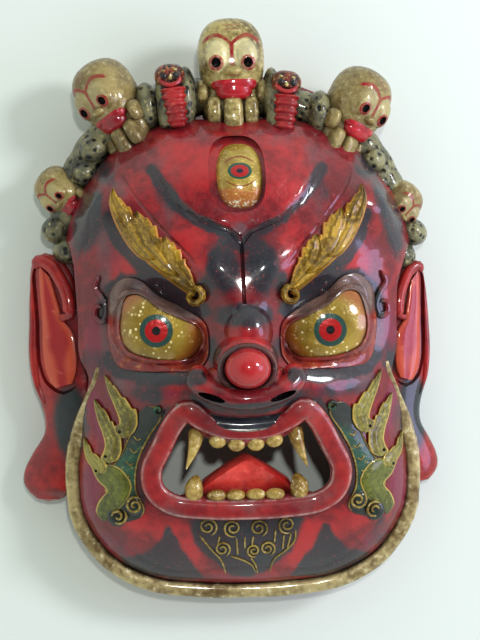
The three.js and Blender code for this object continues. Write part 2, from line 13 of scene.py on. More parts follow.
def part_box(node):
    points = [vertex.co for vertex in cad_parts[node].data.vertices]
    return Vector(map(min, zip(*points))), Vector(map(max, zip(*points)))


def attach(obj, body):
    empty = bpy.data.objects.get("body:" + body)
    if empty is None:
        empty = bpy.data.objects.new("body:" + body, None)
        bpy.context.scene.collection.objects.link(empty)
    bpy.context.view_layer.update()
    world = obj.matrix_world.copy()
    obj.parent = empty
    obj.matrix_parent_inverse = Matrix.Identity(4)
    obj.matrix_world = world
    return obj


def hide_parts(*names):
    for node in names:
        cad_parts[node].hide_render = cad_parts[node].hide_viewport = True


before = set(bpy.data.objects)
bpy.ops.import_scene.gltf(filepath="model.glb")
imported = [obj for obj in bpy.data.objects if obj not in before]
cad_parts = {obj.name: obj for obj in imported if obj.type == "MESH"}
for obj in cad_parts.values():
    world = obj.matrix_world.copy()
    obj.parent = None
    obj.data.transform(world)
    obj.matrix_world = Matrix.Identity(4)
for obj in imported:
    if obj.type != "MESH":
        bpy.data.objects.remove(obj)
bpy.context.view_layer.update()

# Head block: one rounded mass of wood, 304 mm wide and 454 mm tall, that ends at a ledge, the
# crown's above and the beard rim's below. It is painted in vermilion lacquer under an old glossy
# varnish, dark teal in the hollows: partly the mask's own paint, partly painted shade.
HALF_WIDTH, CROWN_Y, CHIN_Y, MIDDLE_Y = 152, 214, -240, -10
SIDE_HEIGHT, FACE_RISE, LEDGE_HEIGHT = 36, 64, 30
CROWN_START, CROWN_LEDGE, RIM_WIDTH = 0.5, 46, 13
BEARD_TOP_Y = -44
CROWN_RISE, JAW_RISE, FURROW_STEP, DOME_POWER = 26, 4, 3.4, 0.62
SIDES = (-1, 1)
HEAD_HALF_OUTLINE = [
    (0, 1), (0.3, 0.97), (0.58, 0.88), (0.82, 0.71), (0.955, 0.49), (0.985, 0.27),
    (0.975, 0.04), (0.965, -0.19), (0.985, -0.4), (1, -0.58), (0.96, -0.735), (0.8, -0.88),
    (0.55, -0.967), (0.25, -0.995), (0, -1),
]
# place, spread and rise of each swell; both sides unless x is 0
SWELLS = [
    (0, 118, 78, 44, 21), (24, 44, 27, 34, 19), (66, 62, 26, 26, 13), (104, 98, 30, 26, 12),
    (126, 92, 20, 24, 10), (72, 2, 38, 28, -12), (74, -56, 40, 22, 9), (0, -6, 27, 34, 20),
    (0, -46, 46, 26, 22), (0, -108, 78, 48, 9), (0, -192, 52, 30, 5), (104, -170, 36, 40, 6),
]
# the carved edge that sweeps down over the brows to the middle of the forehead, right half
FURROW = [(0, 66), (8, 75), (20, 80), (38, 88), (55, 104), (64, 121), (74, 134)]


def smooth(points, count, closed=False):
    """Evenly spaced points on the smooth curve through a few."""
    knots = [Vector(p).to_3d() for p in points]
    last = len(knots) - 1
    fine = []
    for k in range(len(knots) if closed else last):
        p1, p2 = knots[k], knots[(k + 1) % len(knots)]
        p0 = knots[k - 1] if closed or k else 2 * p1 - p2
        p3 = knots[(k + 2) % len(knots)] if closed or k + 2 <= last else 2 * p2 - p1
        d0, d1, d2 = [max(1e-4, (b - a).length) ** 0.5 for a, b in ((p0, p1), (p1, p2), (p2, p3))]
        t1 = ((p1 - p0) / d0 - (p2 - p0) / (d0 + d1) + (p2 - p1) / d1) * d1
        t2 = ((p2 - p1) / d1 - (p3 - p1) / (d1 + d2) + (p3 - p2) / d2) * d1
        for j in range(16):
            t = j / 16
            fine.append(p1 + t1 * t + (3 * (p2 - p1) - 2 * t1 - t2) * t * t
                        + (2 * (p1 - p2) + t1 + t2) * t ** 3)
    fine.append(knots[0] if closed else knots[-1])
    reach = [0]
    for a, b in zip(fine, fine[1:]):
        reach.append(reach[-1] + (b - a).length)
    out, k = [], 0
    for i in range(count):
        want = reach[-1] * i / (count if closed else count - 1)
        while k < len(reach) - 2 and reach[k + 1] < want:
            k += 1
        share = (want - reach[k]) / max(1e-6, reach[k + 1] - reach[k])
        out.append(fine[k].lerp(fine[k + 1], min(1, share)))
    return out


def mirrored(points, side=-1):
    return [(side * p[0], *p[1:]) for p in points]


def clamp(value, low=0.0, high=1.0):
    return max(low, min(high, value))


def soft_step(value):
    value = clamp(value)
    return value * value * (3 - 2 * value)


half = [(x * HALF_WIDTH, y * CROWN_Y if y > 0 else -y * CHIN_Y) for x, y in HEAD_HALF_OUTLINE]
head_loop = smooth(half + mirrored(half[-2:0:-1]), 720, closed=True)
head_reach = sorted((math.atan2(p.y - MIDDLE_Y, p.x), math.hypot(p.x, p.y - MIDDLE_Y))
                    for p in head_loop)
REACH_STEPS = 1440
reach_table, cursor = [], 0
for i in range(REACH_STEPS):
    angle = -math.pi + 2 * math.pi * i / REACH_STEPS
    while cursor < len(head_reach) - 1 and head_reach[cursor][0] < angle:
        cursor += 1
    reach_table.append(head_reach[cursor][1])


def head_radius(angle):
    spot = ((angle + math.pi) / (2 * math.pi) * REACH_STEPS) % REACH_STEPS
    low = int(spot)
    a, b = reach_table[low], reach_table[(low + 1) % REACH_STEPS]
    return a + (b - a) * (spot - low)


def crown_share(angle):
    climb = math.pi / 2 - abs(math.pi / 2 - angle)
    return clamp((climb - CROWN_START) / (math.pi / 2 - CROWN_START))


def jaw_share(angle):
    return clamp((BEARD_TOP_Y - MIDDLE_Y - head_radius(angle) * math.sin(angle)) / 60)


def face_radius(angle):
    return head_radius(angle) - CROWN_LEDGE * crown_share(angle) - RIM_WIDTH * jaw_share(angle)


def edge_height(angle):
    return SIDE_HEIGHT + CROWN_RISE * crown_share(angle) + JAW_RISE * jaw_share(angle)


def furrow_y(x):
    """Height on the forehead of the carved edge."""
    side = abs(x)
    for (x0, y0), (x1, y1) in zip(FURROW, FURROW[1:]):
        if side <= x1:
            return y0 + (y1 - y0) * (side - x0) / (x1 - x0)
    return FURROW[-1][1] + (side - FURROW[-1][0]) * 2.2


def face_height(x, y):
    """The carved surface that all the features stand on."""
    angle = math.atan2(y - MIDDLE_Y, x)
    share = math.hypot(x, y - MIDDLE_Y) / face_radius(angle)
    edge = edge_height(angle)
    dome = max(0.0, 1 - share * share) ** DOME_POWER
    swell = 0.0
    for cx, cy, rx, ry, rise in SWELLS:
        fall = ((y - cy) / ry) ** 2
        swell += rise * math.exp(-((x - cx) / rx) ** 2 - fall)
        if cx:
            swell += rise * math.exp(-((x + cx) / rx) ** 2 - fall)
    above = y - furrow_y(x)
    fade = 1 - soft_step((abs(x) - 62) / 14)
    step = FURROW_STEP * soft_step((above + 1.2) / 2.4) * math.exp(-max(0.0, above) / 40) * fade
    return edge + (SIDE_HEIGHT + FACE_RISE - edge) * dome + (swell + step) * min(1.0, dome * 3)


def on_face(points, lift=0.0):
    return [Vector((p[0], p[1], face_height(p[0], p[1]) + lift)) for p in points]


PAINTS = {}


class Paint:
    """A value or colour in a shader; Python arithmetic joins values with Math nodes."""

    def __init__(self, tree, socket=None):
        self.tree, self.socket = tree, socket

    def join(self, kind, inputs, settings=(), output=0):
        """Any node: its settings first, then the values or links of its sockets."""
        node = self.tree.nodes.new(kind)
        for key, value in dict(settings).items():
            setattr(node, key, value)
        for key, value in inputs.items():
            if isinstance(value, Paint):
                self.tree.links.new(value.socket, node.inputs[key])
            else:
                node.inputs[key].default_value = value
        return Paint(self.tree, node.outputs[output])

    def math(self, operation, *others):
        return self.join("ShaderNodeMath", dict(enumerate((self, *others))),
                         {"operation": operation})

    def __add__(self, other):
        return self.math("ADD", other)

    def __sub__(self, other):
        return self.math("SUBTRACT", other)

    def __mul__(self, other):
        return self.math("MULTIPLY", other)

    def __rsub__(self, other):
        return (self * -1.0) + other

    __radd__, __rmul__ = __add__, __mul__

    def power(self, other):
        return self.math("POWER", other)

    def size(self):
        return self.math("ABSOLUTE")

    def wave(self):
        return self.math("SINE")

    def clip(self):
        return self.join("ShaderNodeClamp", {0: self})

    def between(self, low, high):
        """0 below low, 1 above high, smooth between."""
        return self.join("ShaderNodeMapRange", {0: self, 1: low, 2: high},
                         {"interpolation_type": "SMOOTHSTEP"})

    def mix(self, a, b):
        """From colour a to colour b by this value."""
        return self.join("ShaderNodeMix", {0: self, 6: a, 7: b}, {"data_type": "RGBA"}, 2)

    def noise(self, scale, detail=3.0, rough=0.55, stretch=(1, 1, 1)):
        place = self.join("ShaderNodeMapping", {0: self, 3: stretch})
        return place.join("ShaderNodeTexNoise", {0: place, 2: scale, 3: detail, 4: rough})

    def cells(self, scale, feature="F1"):
        return self.join("ShaderNodeTexVoronoi", {0: self, 2: scale}, {"feature": feature})


def colour(red, green, blue):
    return (red, green, blue, 1.0)


def new_paint(name):
    """A new finish of the carving; gives the place on the piece, in metres."""
    material = bpy.data.materials.new(name)
    material.use_nodes = True
    PAINTS[name] = material
    return Paint(material.node_tree).join("ShaderNodeTexCoord", {}, output="Object")


def laid(place, name, part):
    """One of the four values laid over the carving by place."""
    whole = place.join("ShaderNodeAttribute", {}, {"attribute_name": name},
                       "Alpha" if part == 3 else "Color")
    return whole if part == 3 else whole.join("ShaderNodeSeparateColor", {0: whole}, output=part)


def chart_of(place):
    """The two values of the area's own chart."""
    whole = place.join("ShaderNodeUVMap", {}, {"uv_map": "local"})
    return [whole.join("ShaderNodeSeparateXYZ", {0: whole}, output=k) for k in range(2)]


def finish(place, base, rough=0.35, metal=0.0, bump=None, depth=0.001, coat=0.5,
           crevice_shade_colour=colour(0.016, 0.010, 0.010), crevice_shade_amount=0.9):
    """Sets the surface from its painted values, with painted shade in the crevices."""
    grain = place.noise(150, 3)
    # Painted shade: darker where nearby carving covers the sky, broken by the grain.
    painted_crevice_shade = (laid(place, "wear", 0) * 1.7 + (grain - 0.5) * 0.7 - 0.3).clip() * crevice_shade_amount
    values = {"Base Color": painted_crevice_shade.mix(base, crevice_shade_colour), "Roughness": rough, "Metallic": metal,
              "Coat Weight": coat, "Coat Roughness": 0.08,
              "Specular IOR Level": 0.22}
    if bump:
        values["Normal"] = bump.join("ShaderNodeBump", {"Strength": 1.0, "Distance": depth,
                                                        "Height": bump})
    shader = place.tree.nodes["Principled BSDF"]
    for key, value in values.items():
        if isinstance(value, Paint):
            place.tree.links.new(value.socket, shader.inputs[key])
        else:
            shader.inputs[key].default_value = value


# The lacquer: crimson to vermilion, brighter on the swells, partly as a painted highlight; dark
# teal, partly the mask's paint and partly painted shade; and a grey sheen, a painted reflection of
# light in the varnish.
VERMILION, CRIMSON = colour(0.46, 0.014, 0.017), colour(0.15, 0.005, 0.010)
TEAL_AND_SHADE, ROSE = colour(0.011, 0.030, 0.036), colour(0.20, 0.010, 0.040)
PAINTED_SHEEN = colour(0.11, 0.078, 0.088)
place = new_paint("lacquer")
dark, bright, sheen, rose = [laid(place, "shade", k) for k in range(4)]
mottle, fine, speck = place.noise(26, 4), place.noise(120, 3), place.noise(430, 2)
smear = place.noise(45, 4, stretch=(1, 0.4, 1))
# Brighter vermilion on the swells: partly the paint, partly a painted highlight.
red = (bright * 0.8 + (mottle - 0.5) * 1.6 + (fine - 0.5) * 1.3 + 0.22).between(0.0, 1.0)
base = red.mix(CRIMSON, VERMILION)
base = (rose + (fine - 0.5) * 0.7).between(0.2, 0.9).mix(base, ROSE)
# Painted reflection: a grey sheen of light in the varnish.
sheen_amount = (sheen + (smear - 0.5) * 1.5 + (fine - 0.5) * 0.5 - 0.12).between(0.1, 0.9)
base = (sheen_amount * 0.7).mix(base, PAINTED_SHEEN)
# Dark teal: partly the mask's paint, partly painted shade in the hollows and under the ledges.
teal_and_shade = (dark * 1.15 + (smear - 0.5) * 1.5 + (fine - 0.5) * 0.8 - 0.1)
base = (teal_and_shade.between(0.12, 0.75) * 0.95).mix(base, (mottle - 0.1).between(0.3, 0.6).mix(
    colour(0.017, 0.014, 0.021), TEAL_AND_SHADE))
base = (((speck - 0.65) * 9).clip() * 0.55).mix(base, colour(0.60, 0.06, 0.035))
cracks = (place.cells(260, "DISTANCE_TO_EDGE") + place.noise(60, 2) * 0.06).between(0.0, 0.07)
finish(place, base, rough=0.22 + fine * 0.25, depth=0.0007, coat=0.75,
       bump=cracks * 0.25 + fine * 0.9 + mottle * 1.6)


BLOCK, SOCKETS, RAISED, CUTS, OPENINGS, MOUTH = [], [], [], [], [], []


def carving(group):
    """A new part of the carving, to be joined or cut with the others of its group."""
    bm = bmesh.new()
    bm.loops.layers.uv.new("local")
    group.append(bm)
    return bm


def cover(bm, paint, chart):
    """Gives every face a paint and its corners their place in a chart."""
    local = bm.loops.layers.uv.verify()
    for face in bm.faces:
        face.material_index = list(PAINTS).index(paint)
        for loop in face.loops:
            loop[local].uv = chart(loop.vert.co)


def skin(group, rows, around, place, paint, chart=None):
    """A closed skin: a sheet rolled round; place(row share, turn share) puts each corner."""
    bm = carving(group)
    bmesh.ops.create_grid(bm, x_segments=rows, y_segments=around, size=1)
    cover(bm, paint, lambda co: ((co.x + 1) / 2, (co.y + 1) / 2))
    for v in bm.verts:
        v.co = place((v.co.x + 1) / 2, (v.co.y + 1) / 2)
    if chart:
        cover(bm, paint, chart)
    bmesh.ops.remove_doubles(bm, verts=bm.verts, dist=0.002)
    bmesh.ops.recalc_face_normals(bm, faces=bm.faces)


FACE_RINGS = 64
FACE_LEDGE = ((0.3, 0), (-1.5, 0), (0, -1.5), (0, -15), (0, -28), (-2, -30), (None, -30))


def block_skin(t, turn):
    row = round(t * (FACE_RINGS + 7))
    angle = -math.pi + 2 * math.pi * turn
    if row <= FACE_RINGS:
        reach = face_radius(angle) * math.sin(math.pi / 2 * row / FACE_RINGS)
        x, y = reach * math.cos(angle), MIDDLE_Y + reach * math.sin(angle)
        return Vector((x, y, face_height(x, y)))
    step, drop = FACE_LEDGE[row - FACE_RINGS - 1]
    reach = 0 if step is None else (face_radius(angle) if row == FACE_RINGS + 1
                                    else head_radius(angle)) + step
    return Vector((reach * math.cos(angle), MIDDLE_Y + reach * math.sin(angle),
                   LEDGE_HEIGHT + drop))


skin(BLOCK, FACE_RINGS + 7, 264, block_skin, "lacquer")

# Wearer's hollow: a smooth scooped dome, one wall inside the face's edge and deeper behind the
# nose, left as bare wood.
WALL, RIM_WALL, HOLLOW_TOP, SCOOP_RINGS = 14, 15, 78, 20
place = new_paint("bare_wood")
rings = place.noise(40, 4, stretch=(1.0, 0.12, 1.0))
base = rings.between(0.3, 0.7).mix(colour(0.10, 0.045, 0.018), colour(0.26, 0.14, 0.06))
finish(place, base, rough=0.75, bump=rings, depth=0.001, coat=0.0, crevice_shade_amount=0.5)


def hollow_radius(angle):
    return min(head_radius(angle) - RIM_WALL, face_radius(angle) - WALL / 2)


def scoop(t, turn):
    row = round(t * (SCOOP_RINGS + 1))
    angle = -math.pi + 2 * math.pi * turn
    share = math.sin(math.pi / 2 * row / SCOOP_RINGS) if row <= SCOOP_RINGS else 0
    x = hollow_radius(angle) * share * math.cos(angle)
    y = MIDDLE_Y + hollow_radius(angle) * share * math.sin(angle)
    edge = edge_height(angle) - WALL
    nose = 22 * math.exp(-(x / 34) ** 2 - ((y + 48) / 48) ** 2)
    roof = edge + (HOLLOW_TOP - edge) * max(0.0, 1 - share * share) ** DOME_POWER + nose
    return Vector((x, y, roof if row < SCOOP_RINGS else -5))


skin(OPENINGS, SCOOP_RINGS + 1, 96, scoop, "bare_wood")

# Forehead: a carved edge that sweeps down to a groove between the brows, a line over each brow,
# and the third eye, carved in an oblong recess, gilded and painted.


def round_turn(turn, square=1.0):
    """Cosine and sine of a share of a turn, boxy if square is under 1."""
    angle = 2 * math.pi * turn
    return [math.copysign(abs(value) ** square, value)
            for value in (math.cos(angle), math.sin(angle))]


def roll(group, path, wide, high, around, paint, grow=None, closed=False, square=1.0, chart=None):
    """A roll along a path. grow(t) scales its section; square under 1 flattens its sides."""
    steps = len(path) if closed else len(path) - 1
    frames = []
    for k, at in enumerate(path):
        before = path[k - 1] if closed or k else path[0]
        after = path[(k + 1) % len(path)] if closed or k < steps else path[-1]
        along = (after - before).normalized()
        side = along.cross(Vector((0, 0, 1))).normalized()
        frames.append((at, side, side.cross(along).normalized()))
    rows = steps if closed else steps + 2

    def place(t, turn):
        k = round(t * rows)
        share = 1.0
        if not closed:
            share = 0.0 if k in (0, rows) else 1.0
            k = min(max(k - 1, 0), steps)
        at, side, lift = frames[k % len(path)]
        size = share * (grow(k / steps) if grow else 1.0)
        c, s = round_turn(turn, square)
        return at + side * (c * wide * size) + lift * (s * high * size)
    skin(group, rows, around, place, paint, chart)


def tapered(tip=0.0, root=0.0):
    """Section scale of a roll that closes at both ends with round shoulders."""
    def grow(t):
        a = math.sqrt(clamp(1 - (1 - min(1.0, t / 0.12)) ** 2))
        b = math.sqrt(clamp(1 - (1 - min(1.0, (1 - t) / 0.12)) ** 2))
        return max(a, root if t < 0.5 else 0) * max(b, tip if t > 0.5 else 0)
    return grow


for side in SIDES:
    edge = smooth([(side * x, y - 2.6) for x, y in FURROW[:6]], 34)
    roll(CUTS, on_face(edge, 1.1), 3.2, 2.9, 12, "lacquer", grow=lambda t: 1.05 - 0.97 * t)
    line = smooth([(side * x, y) for x, y in
                   ((97, 124), (88, 107), (74, 88), (60, 71), (47, 57), (37, 44))], 30)
    roll(CUTS, on_face(line, 0.8), 2.2, 2.2, 8, "lacquer", grow=tapered(0.3, 0.3))
roll(CUTS, on_face([(0.2, 70 - 57 * k / 24) for k in range(25)], 1.0), 2.0, 4.2, 8, "lacquer")

THIRD_EYE = (1, 120)
OVER_ALL = 180  # above every carving, where the wells are cut from
place = new_paint("third_eye_gold")
u, v = chart_of(place)
broad, grain, fleck = place.noise(60, 3), place.noise(260, 2), place.noise(500, 2)
oval = (u.power(2.0) + (v - 3.5).power(2.0) * 2.0).power(0.5)
base = (broad * 1.6 - 0.3).between(0.2, 0.8).mix(colour(0.26, 0.16, 0.02), colour(0.50, 0.36, 0.07))
base = (1 - (v + (broad - 0.5) * 8).between(-15, -8)).mix(base, colour(0.44, 0.15, 0.035))
base = ((fleck - 0.6) * 9).clip().mix(base, colour(0.75, 0.55, 0.14))
base = ((fleck - 0.5) * 9 * (1 - v.between(-23, -19))).clip().mix(base, colour(0.8, 0.72, 0.5))
upper_lid = ((v - 16 + u.power(2.0) * 0.035).size() * -1 + 1.2).clip()
crease = ((v + 9.5 - u.power(2.0) * 0.035).size() * -1 + 1.1).clip()
base = ((upper_lid + crease).clip() * (1 - u.size().between(10, 13))).mix(
    base, colour(0.22, 0.035, 0.01))
base = (1 - (oval - 9.6).between(0.0, 0.8)).mix(base, colour(0.012, 0.075, 0.05))
base = (1 - (oval - 7.0).between(0.0, 0.8)).mix(base, colour(0.42, 0.012, 0.012))
base = (1 - (oval - 2.4).between(0.0, 0.8)).mix(base, colour(0.012, 0.01, 0.03))
finish(place, base, rough=0.3, metal=0.1, bump=grain, depth=0.0006, coat=0.6, crevice_shade_amount=0.75)


def oval_slab(group, centre, half_width, half_height, top, bottom, paint, rings=6, square=0.8):
    """A rounded-oblong plug with its own top and bottom surfaces."""
    rows = 2 * rings + 1

    def place(t, turn):
        row = round(t * rows)
        share = min(row, rows - row) / rings
        c, s = round_turn(turn, square)
        x = centre[0] + half_width * c * share
        y = centre[1] + half_height * s * share
        return Vector((x, y, (top if row <= rings else bottom)(x, y, share)))
    skin(group, rows, 56, place, paint, chart=lambda co: (co.x - centre[0], co.y - centre[1]))


oval_slab(SOCKETS, (THIRD_EYE[0] - 2, THIRD_EYE[1] + 1), 23.5, 33,
          lambda x, y, s: OVER_ALL, lambda x, y, s: face_height(x, y) - 7.5 + 2 * s ** 6,
          "lacquer", square=0.7)
oval_slab(RAISED, (THIRD_EYE[0] + 0.5, THIRD_EYE[1] - 1), 19.5, 29,
          lambda x, y, s: face_height(x, y) - 8 + 7.5 * max(0.0, 1 - s * s) ** 0.5,
          lambda x, y, s: face_height(x, y) - 14, "third_eye_gold", rings=12, square=0.8)

# Eyes: bulging gilded eyeballs, painted, each in a socket behind a broad upper lid that slants
# down to the nose and a double lower lid.
EYE_X, EYE_Y, EYE_STEPS, GLOBE_RINGS = 69, -4, 112, 20
EYE_EDGE, EYE_BULGE = 84, 21
IRISES = {-1: (-72.2, -7.6), 1: (71.1, -9.7)}
EYE_LOOP = [(35, -18), (37, -6), (52, 2), (69, 10.5), (85, 22.5), (96, 21.5), (101.5, 5),
            (102, -11), (96, -23), (81, -29.5), (61, -32), (43, -30)]
LID_LOOP = [(30, -19), (33, -2), (52, 11.5), (69, 20.5), (85, 34), (97, 36), (109, 27),
            (113, 8), (111.5, -20), (104, -36), (86, -40), (62, -40.5), (40, -39), (32, -31)]


def eye_top(x, y):
    dx, dy = (abs(x) - EYE_X) / 41, (y - EYE_Y) / 38
    return EYE_EDGE + EYE_BULGE * math.sqrt(clamp(1 - dx * dx - dy * dy))


def between_loops(inner, outer, share):
    return [a.lerp(b, share) for a, b in zip(inner, outer)]


def strip(group, a, b, rise, around, paint, base=None, sink=3.5, closed=False, round_off=0.6,
          flutes=0, flute_depth=0.0, chart=None):
    """A low band between two edges, a and b, that lies on the face or on a base of its own."""
    if not closed:
        a, b = a[1:-1], b[1:-1]
    steps = len(a) if closed else len(a) - 1
    rows = steps if closed else steps + 2
    under = base or (lambda x, y, across: face_height(x, y))

    def place(t, turn):
        k = round(t * rows)
        shut = not closed and k in (0, rows)
        k = k % steps if closed else min(max(k - 1, 0), steps)
        c, s = round_turn(turn)
        across = 0.5 if shut else (1 - c) / 2
        spot = a[k].lerp(b[k], across)
        lift = 0.0
        if s > 0 and not shut:
            wave = math.cos(2 * math.pi * flutes * across) * flute_depth * s
            lift = rise * s ** round_off + wave
        elif not shut:
            lift = -sink * (-s) ** 0.5
        return Vector((spot.x, spot.y, under(spot.x, spot.y, across) + lift))
    skin(group, rows, around, place, paint, chart)


def plug(group, loop, centre, top, bottom, paint, spread=1.0):
    """An upright plug with the loop as its section, to cut a well with."""
    def place(t, turn):
        row, edge = round(t * 3), loop[round(turn * len(loop)) % len(loop)]
        share = spread if row in (1, 2) else 0.0
        return Vector((centre[0] + (edge.x - centre[0]) * share,
                       centre[1] + (edge.y - centre[1]) * share, top if row < 2 else bottom))
    skin(group, 3, len(loop), place, paint)


place = new_paint("eye_gold")
u, v = chart_of(place)
far = (u.power(2.0) + v.power(2.0)).power(0.5)
broad, grain, fleck = place.noise(34, 4), place.noise(230, 2), place.noise(180, 2)
base = (broad * 1.7 - 0.35).between(0.15, 0.85).mix(colour(0.17, 0.10, 0.008),
                                                    colour(0.42, 0.28, 0.035))
corner = (far + (broad - 0.5) * 14).between(22, 36)
base = (corner * 0.85).mix(base, colour(0.33, 0.075, 0.012))
spots = ((place.cells(190) * -1 + 0.27) * 9).clip()
spots = spots * far.between(13, 15) * (1 - far.between(22, 30))
base = spots.mix(base, colour(0.95, 0.80, 0.38))
base = ((fleck - 0.62) * 8).clip().mix(base, colour(0.62, 0.46, 0.16))
base = (1 - (far - 13.3).between(0.0, 0.8)).mix(base, colour(0.028, 0.07, 0.056))
base = (1 - (far - 9.0).between(0.0, 0.8)).mix(base, colour(0.45, 0.012, 0.012))
base = (1 - (far - 3.2).between(0.0, 0.8)).mix(base, colour(0.012, 0.010, 0.012))
finish(place, base, rough=0.2 + grain * 0.15, metal=0.1, bump=grain, depth=0.0005,
       coat=0.9, crevice_shade_amount=0.85)


def patches(broad, grain):
    """Broad patches of an oil colour with a fine-grained edge, 0 to 1."""
    return (broad * 1.6 + (grain - 0.5) * 0.9 - 0.3).between(0.1, 0.9)


def plain_paint(name, deep, full, light, scale=60, rough=0.3, amount=1.0, sheen=0.0, crevice_shade_amount=0.9,
                edge=0.0, pale=colour(0.5, 0.36, 0.3)):
    """One oil colour: deeper and lighter patches, a grey painted sheen, pale worn edges that are
    also a painted highlight.
    """
    place = new_paint(name)
    broad, grain = place.noise(scale * 0.5, 4), place.noise(scale * 3, 3)
    base = patches(broad, grain).mix(deep, full)
    base = (((grain - 0.62) * 6).clip() * amount).mix(base, light)
    if sheen:
        # Painted reflection: a grey sheen in patches.
        smear = place.noise(scale * 0.8, 4, stretch=(1, 0.5, 1))
        base = (smear.between(0.48, 0.72) * sheen).mix(base, PAINTED_SHEEN)
    if edge:
        # Pale rubbed edges on the convex parts: wear, and a painted highlight.
        edge_wear_and_light = (laid(place, "wear", 1) * 2.2 + (grain - 0.5) * 0.9 - 0.55).clip() * edge
        base = edge_wear_and_light.mix(base, pale)
    finish(place, base, rough=rough + grain * 0.2, bump=grain + broad * 1.5,
           depth=0.0007, coat=0.7, crevice_shade_amount=crevice_shade_amount)


place = new_paint("eyelid")
u, v = chart_of(place)
broad, grain = place.noise(30, 4), place.noise(170, 3)
smear = place.noise(42, 4, stretch=(1, 0.5, 1))
upper = (v - u.size() * 0.25 + (broad - 0.5) * 10).between(-6, 4)
deep = upper.mix(colour(0.12, 0.010, 0.010), colour(0.095, 0.050, 0.042))
full = upper.mix(colour(0.36, 0.028, 0.016), colour(0.23, 0.125, 0.095))
base = patches(broad, grain).mix(deep, full)
base = (((grain - 0.6) * 7).clip() * (1 - upper) * 0.7).mix(base, colour(0.5, 0.2, 0.06))
# Painted reflection: a grey sheen, stronger on the upper lid.
base = (smear.between(0.45, 0.7) * (upper * 0.6 + 0.1)).mix(base, PAINTED_SHEEN)
# Pale rubbed edges: wear, and a painted highlight.
rubbed_and_lit = (laid(place, "wear", 1) * 2.2 + (grain - 0.5) * 0.9 - 0.5).clip() * 0.6
base = rubbed_and_lit.mix(base, colour(0.42, 0.28, 0.24))
finish(place, base, rough=0.28 + grain * 0.2, bump=grain + broad * 1.5, depth=0.0007,
       coat=0.75, crevice_shade_amount=0.6)
for side, iris in IRISES.items():
    inner = smooth(mirrored(EYE_LOOP, side), EYE_STEPS, closed=True)
    outer = smooth(mirrored(LID_LOOP, side), EYE_STEPS, closed=True)
    middle = between_loops(inner, outer, 0.4)
    plug(SOCKETS, outer, (side * EYE_X, EYE_Y), OVER_ALL, 76, "lacquer", spread=0.97)

    def globe(t, turn):
        row = round(t * (GLOBE_RINGS + 1))
        edge = inner[round(turn * EYE_STEPS) % EYE_STEPS]
        share = (row / GLOBE_RINGS if row <= GLOBE_RINGS else 0) * 1.05
        x = side * EYE_X + (edge.x - side * EYE_X) * share
        y = EYE_Y + (edge.y - EYE_Y) * share
        return Vector((x, y, eye_top(x, y) if row < GLOBE_RINGS else 60))
    skin(RAISED, GLOBE_RINGS + 1, EYE_STEPS, globe, "eye_gold",
         chart=lambda co: (co.x - iris[0], co.y - iris[1]))

    def lid_base(x, y, across):
        return eye_top(x, y) + (face_height(x, y) - eye_top(x, y)) * soft_step(across)

    def lid_chart(co):
        return co.x - side * EYE_X, co.y - EYE_Y
    wide = between_loops(inner, outer, 1.08)
    strip(RAISED, middle, wide, 3.2, 14, "eyelid", sink=12, closed=True,
          chart=lid_chart, base=lambda x, y, across: lid_base(x, y, 0.4 + 0.6 * across))
    strip(RAISED, inner, between_loops(inner, outer, 0.46), 2.6, 12, "eyelid",
          sink=12, closed=True, chart=lid_chart,
          base=lambda x, y, across: lid_base(x, y, 0.4 * across))

# Brows: three fluted flame leaves over each eye, gilded, with toothed upper edges whose tips
# point up and out, on one narrow leaf that ends in a curl beside the nose.


def gilt(name, shadow, gold, light, scale=60, rough=0.38, metal=0.3, extra=None, crevice_shade_amount=0.9,
         edge=0.8, crevice_shade_colour=colour(0.02, 0.012, 0.006)):
    """Gold or bronze paint; painted shade in the hollows, worn edges lit as a painted highlight,
    fine scratches.
    """
    place = new_paint(name)
    broad, grain = place.noise(scale * 0.4, 4), place.noise(scale * 3, 3)
    fleck = place.noise(scale * 7, 2)
    base = (broad * 1.7 + (grain - 0.5) * 1.2 - 0.35).between(0.1, 0.85).mix(shadow, gold)
    base = ((grain + fleck * 0.5 - 0.86) * 5).clip().mix(base, light)
    # Worn edges lit bright: wear, and a painted highlight.
    edge_wear_and_light = (laid(place, "wear", 1) * 1.8 + (grain - 0.5) * 1.2 - 0.45).clip() * edge
    base = edge_wear_and_light.mix(base, light)
    if extra:
        base = extra(place, base, broad, grain)
    finish(place, base, rough=rough + grain * 0.2, metal=metal,
           bump=grain + broad * 1.5, depth=0.0008, coat=0.6, crevice_shade_amount=crevice_shade_amount, crevice_shade_colour=crevice_shade_colour)


def across_strip(v):
    """How far across a strip its chart lies, 0 at one edge and 1 at the other."""
    return 0.5 - (v * (2 * math.pi) + math.pi / 2).wave() * 0.5


def leaf_paint(rim, low, width, veins=0.75):
    """Gold on the rim of a leaf, and dark lines in its flutes."""
    def extra(place, base, broad, grain):
        u, v = chart_of(place)
        across = across_strip(v)
        line = ((across * 19 + u * 5 + (broad - 0.5) * 4).wave() + (grain - 0.5)).between(0.3, 0.95)
        base = (line * veins).mix(base, low)
        edge = (across - 0.5).size() + (grain - 0.5) * 0.05
        return edge.between(0.5 - width, 0.52 - width * 0.6).mix(base, rim)
    return extra


